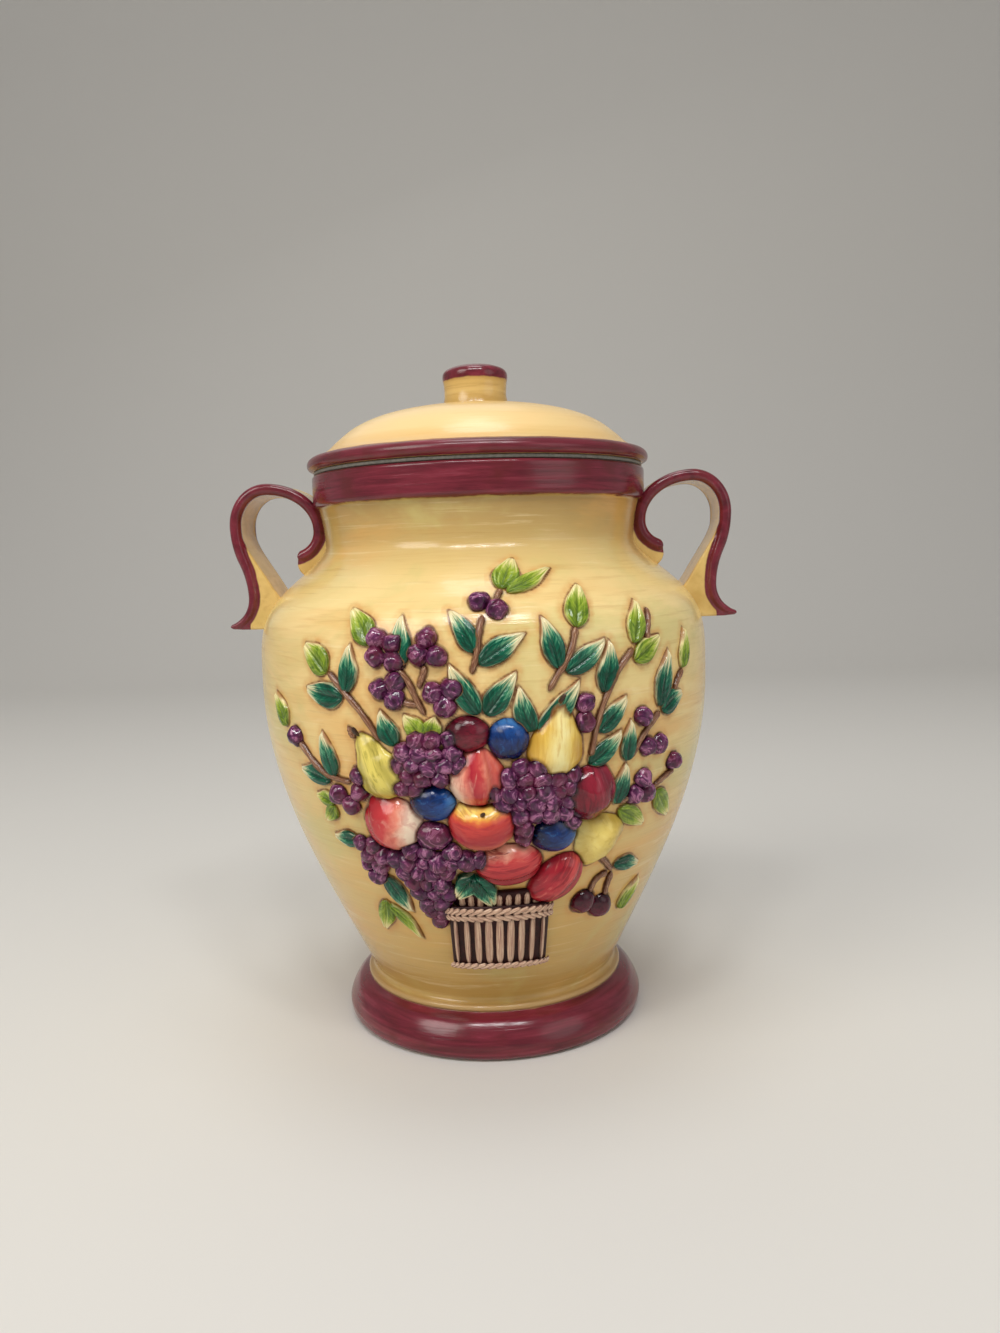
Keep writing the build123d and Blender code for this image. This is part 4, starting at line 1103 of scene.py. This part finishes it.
def leaf_glaze(name, dark, middle, light, rim, tip):
    """Leaf brushed along its length, fading into the wall's cream at its tip, with brown round the tip."""
    g = Glaze(name, 0.1, specular=0.45)
    side, along, own = g.value("side"), g.value("along"), g.value("own")
    edge = abs(side)
    veins = g.noise(g.vector(along * 7.0 - edge * 2.2, side * 0.8, own * 9.0), 1.6, 4.0, 0.6, 0.4)
    stroke = g.noise(g.vector(side * 5.0, along * 1.6, own * 19.0), 1.0, 5.0, 0.65, 0.4)
    grade = veins * 0.45 + stroke * 0.55 + g.between(along, 0.3, 0.8, -0.06, 0.14)
    fade = along + (stroke - 0.5) * 0.9 + g.math("POWER", edge, 4.0) * 0.2
    colour = g.ramp(grade, (0.38, dark), (0.52, middle), (0.68, light))
    colour = g.brushed(colour, (fade, 0.62, 0.86, 0.95, rim))
    colour = g.mix(g.between(edge, 0.78, 0.9) * g.between(stroke, 0.42, 0.62, 0.0, 0.5), colour, rim)
    outline = g.between(edge, 0.72, 0.92) * g.between(along, 0.55, 0.75)
    colour = g.mix(g.math("MAXIMUM", outline, g.between(fade, 0.96, 1.12)) * 0.72, colour, tip)
    colour = g.mix(g.between(edge, 0.12, 0.03) * g.between(along, 0.8, 0.4, 0.0, 0.8), colour, dark)
    g.bump(grade, 0.4, 0.0005)
    # Painted shade, in the brown of the tip, where a leaf meets other pieces or the wall.
    return g.done(g.painted_crevice_shade(colour, tip, 0.7, 0.45))


def stem_glaze():
    """Brown stalks mottled from dark to pale, with painted shade on both flanks that leaves the top lighter."""
    g = Glaze("stem_glaze", 0.18, 0.1)
    side = g.value("side")
    grain = g.noise(g.vector(side * 2.2, g.value("along") * 3.0, g.value("own")), 2.0, 4.0, 0.6, 0.5)
    colour = g.ramp(grain, (0.3, (84, 46, 30)), (0.5, (136, 90, 62)), (0.7, (196, 156, 120)))
    # Painted shade on the flanks of each stalk.
    colour = g.brushed(colour, (abs(side), 0.55, 0.95, 0.7, (74, 38, 24)))
    g.bump(grain, 0.4, 0.0004)
    # Painted shade where a stalk meets other pieces or the wall.
    return g.done(g.painted_crevice_shade(colour, (70, 34, 20), 0.7, 0.4))


def weave_glaze():
    """Cream and mauve strands of the basket, darker at their sides and ends."""
    g = Glaze("weave_glaze", 0.16, 0.1)
    side, along = g.value("side"), g.value("along")
    grain = g.noise(g.vector(side * 3.0, along * 1.5, g.value("own") * 20.0), 1.4, 4.0, 0.6, 0.5)
    colour = g.ramp(
        grain, (0.3, (150, 106, 92)), (0.48, (200, 160, 134)), (0.62, (226, 196, 166)), (0.8, (182, 138, 120)))
    colour = g.mix(g.between(abs(side), 0.84, 1.0) * 0.85, colour, (78, 36, 34))
    ends = g.math("MAXIMUM", g.between(along, 0.14, 0.02), g.between(along, 0.86, 0.98))
    # Painted shade where a strand meets other pieces or the wall.
    return g.done(g.painted_crevice_shade(g.mix(ends * 0.7, colour, (70, 38, 32)), (50, 24, 20), 0.5, 0.25))


def basket_gap_glaze():
    g = Glaze("basket_gap_glaze", 0.4, specular=0.2)
    grain = g.grain((500, 500, 120), 4.0, 0.6)
    g.bump(grain, 0.3, 0.0003)
    return g.done(g.ramp(grain, (0.3, (26, 6, 8)), (0.7, (60, 22, 20))))


# how the grade runs, how fine the strokes are, their share, the stroke and pale colours put on, the colour of
# the painted shade in crevices, and the grade's own colours
fruit_glaze(
    "nectarine_right", (0.5, 0.2), (5.0, 0.8), 0.75, (118, 12, 28), (226, 116, 104), (84, 14, 20),
    (0.1, (132, 18, 34)), (0.4, (172, 32, 46)), (0.6, (206, 78, 76)), (0.74, (164, 26, 42)),
    (0.95, (210, 98, 86)))
fruit_glaze(
    "nectarine_left", (-0.9, 0.0), (5.0, 0.8), 0.75, (134, 18, 34), (226, 116, 100), (88, 18, 20),
    (0.06, (152, 26, 38)), (0.4, (184, 44, 50)), (0.7, (198, 62, 62)), (0.9, (238, 176, 150)), seed=2.0)
fruit_glaze(
    "peach_left", (1.1, -0.8), (2.4, 2.0), 0.35, (186, 52, 56), (250, 206, 178), (112, 40, 30),
    (0.16, (168, 30, 42)), (0.5, (204, 62, 64)), (0.72, (236, 142, 118)), (0.94, (252, 228, 200)))
fruit_glaze(
    "peach_upper", (1.0, 0.25), (4.4, 1.0), 0.35, (186, 50, 56), (248, 206, 178), (110, 34, 30),
    (0.18, (246, 208, 178)), (0.34, (234, 138, 116)), (0.46, (178, 36, 52)), (0.62, (202, 68, 68)),
    (0.72, (238, 138, 110)), (0.92, (200, 72, 62)), seed=4.0, blur=0.3)
fruit_glaze(
    "apple", (0.1, -1.0), (1.4, 7.0), 0.45, (158, 28, 40), (228, 108, 84), (96, 26, 20),
    (0.03, (254, 222, 116)), (0.09, (246, 180, 74)), (0.14, (222, 104, 58)), (0.19, (200, 62, 54)),
    (0.5, (180, 42, 52)), (0.85, (226, 140, 108)), blur=0.24, stalk=True)
fruit_glaze(
    "plum_blue", (0.2, 0.9), (4.5, 2.2), 0.6, (4, 20, 58), (36, 100, 164), (4, 8, 24),
    (0.1, (4, 16, 46)), (0.45, (8, 42, 100)), (0.75, (18, 70, 138)), (0.95, (62, 120, 180)))
fruit_glaze(
    "plum_red", (0.5, 0.4), (4.0, 1.6), 0.5, (44, 6, 16), (140, 36, 56), (28, 4, 12),
    (0.1, (44, 6, 16)), (0.45, (96, 12, 32)), (0.75, (128, 22, 42)), (0.95, (160, 62, 78)), seed=5.0)
fruit_glaze(
    "striped_plum", (0.3, 0.2), (4.0, 0.8), 0.65, (66, 6, 22), (180, 76, 92), (46, 6, 16),
    (0.1, (86, 8, 26)), (0.45, (134, 22, 42)), (0.75, (156, 40, 60)), (0.95, (190, 98, 108)), seed=6.0)
fruit_glaze(
    "pear", (0.9, 0.0), (5.0, 0.7), 0.5, (206, 152, 54), (252, 240, 174), (120, 72, 24),
    (0.1, (202, 148, 48)), (0.28, (234, 194, 86)), (0.5, (250, 236, 164)), (0.7, (240, 206, 102)),
    (0.92, (200, 144, 46)), seed=7.0, blur=0.3, stalk=True)
fruit_glaze(
    "pear_left", (0.3, 0.5), (6.0, 1.2), 0.6, (142, 130, 42), (244, 230, 140), (100, 72, 22),
    (0.1, (176, 156, 56)), (0.4, (220, 202, 96)), (0.65, (238, 218, 110)), (0.95, (186, 156, 54)),
    seed=8.0, stalk=True)
fruit_glaze(
    "quince", (0.9, 0.2), (3.0, 3.0), 0.35, (198, 166, 66), (252, 240, 172), (98, 66, 22),
    (0.1, (248, 232, 146)), (0.4, (242, 218, 120)), (0.66, (226, 194, 92)), (0.95, (176, 144, 58)), seed=9.0)
fruit_glaze(
    "cherries", (0.1, -0.9), (3.0, 2.0), 0.5, (36, 4, 16), (120, 38, 62), (20, 3, 8),
    (0.1, (56, 6, 24)), (0.5, (88, 14, 38)), (0.8, (108, 32, 64)), (0.97, (140, 78, 110)), seed=10.0)
by_slot = {
    "leaf_teal": leaf_glaze(
        "teal_leaf_glaze", (0, 58, 40), (4, 96, 70), (108, 178, 134), (242, 226, 178), (154, 90, 46)),
    "leaf_olive": leaf_glaze(
        "olive_leaf_glaze", (84, 112, 24), (142, 166, 44), (196, 204, 96), (240, 224, 162), (152, 94, 44)),
    "cream_glaze": body_glaze(), "lid_glaze": lid_glaze(), "knob_glaze": knob_glaze(),
    "seal_rubber": seal_rubber(), "grape_purple": purple_glaze(), "stem_brown": stem_glaze(),
    "basket_glaze": weave_glaze(), "basket_gap": basket_gap_glaze(),
    "plum_blue": painted["plum_blue"], "pear_glaze": painted["pear"],
}
by_slot["berry_purple"] = by_slot["grape_purple"]
for piece in pieces:
    if piece.node == "grape_large":
        piece.values["dot"] = [np.zeros(piece.count)]
        piece.values["own"] = [np.full(piece.count, 0.3)]
    piece.finish(piece.mesh(), painted.get(piece.node) or by_slot[piece.slot])

handle_material = handle_glaze()
handle(1, "handle_right", handle_material)
handle(-1, "handle_left", handle_material)


# ---------------------------------------------------------------- camera, floor and light
def camera():
    """Camera at the photograph's angle, its places in metres and its turns in degrees."""
    distance, height, yaw, pan, pitch, roll = 0.450, 0.2003, 3.0, -0.87, -6.18, 1.85
    a, b, p, r = (math.radians(turn) for turn in (yaw, yaw + pan, -pitch, roll))
    forward = Vector((-math.sin(b) * math.cos(p), math.cos(b) * math.cos(p), -math.sin(p)))
    right = Vector((math.cos(b), math.sin(b), 0))
    up = right.cross(forward)
    turned = right * math.cos(r) - up * math.sin(r)
    upright = right * math.sin(r) + up * math.cos(r)
    data = bpy.data.cameras.new("camera")
    data.lens, data.sensor_width = 27.455, 36.0
    made = linked("camera", data)
    made.matrix_world = Matrix((
        (turned.x, upright.x, -forward.x, distance * math.sin(a)),
        (turned.y, upright.y, -forward.y, -distance * math.cos(a)),
        (turned.z, upright.z, -forward.z, height),
        (0, 0, 0, 1),
    ))
    bpy.context.scene.camera = made


def floor():
    """Pale floor that sweeps up far behind."""
    material = bpy.data.materials.new("floor")
    material.use_nodes = True
    shader = material.node_tree.nodes["Principled BSDF"]
    shader.inputs["Base Color"].default_value = srgb(222, 219, 212)
    shader.inputs["Roughness"].default_value = 0.9
    shader.inputs["Specular IOR Level"].default_value = 0.2
    line = np.vstack([[(-3.0, 0)], [(1.2, 0)], arc((1.2, 0.9), 0.9, -90, 0, 24), [(2.1, 3.2)]])
    mesh = bpy.data.meshes.new("floor")
    mesh.from_pydata([(x, y, z) for y, z in line for x in (-4.0, 4.0)], [], grid_faces(len(line), 2).tolist())
    dressed("floor", mesh, material)


def lamp(name, place, aim_height, size, power, colour=(1, 1, 1)):
    data = bpy.data.lights.new(name, "AREA")
    data.shape, data.size, data.energy, data.color = "DISK", size, power, colour
    made = linked(name, data)
    made.location = place
    made.rotation_euler = (Vector((0, 0, aim_height)) - Vector(place)).to_track_quat("-Z", "Y").to_euler()


camera()
floor()
lamp("key", (-1.1, -1.05, 1.2), 0.15, 1.0, 11, (1.0, 0.96, 0.9))
lamp("fill", (1.5, -1.1, 0.7), 0.14, 1.2, 2.8, (1.0, 0.97, 0.94))
lamp("top", (0.0, 0.1, 1.6), 0.1, 0.6, 3.6)
lamp("back", (-0.5, 1.3, 1.7), 0.2, 1.6, 2.4)
for number, x in enumerate((-0.22, 0.06, 0.36)):
    lamp(f"spot_{number}", (x, -0.75, 1.15), 0.15, 0.2, 2.3)
world = bpy.data.worlds.new("world")
world.use_nodes = True
background = world.node_tree.nodes["Background"]
background.inputs["Color"].default_value = (0.97, 0.97, 1.0, 1)
background.inputs["Strength"].default_value = 0.33
bpy.context.scene.world = world
bpy.context.scene.view_settings.view_transform = "Standard"
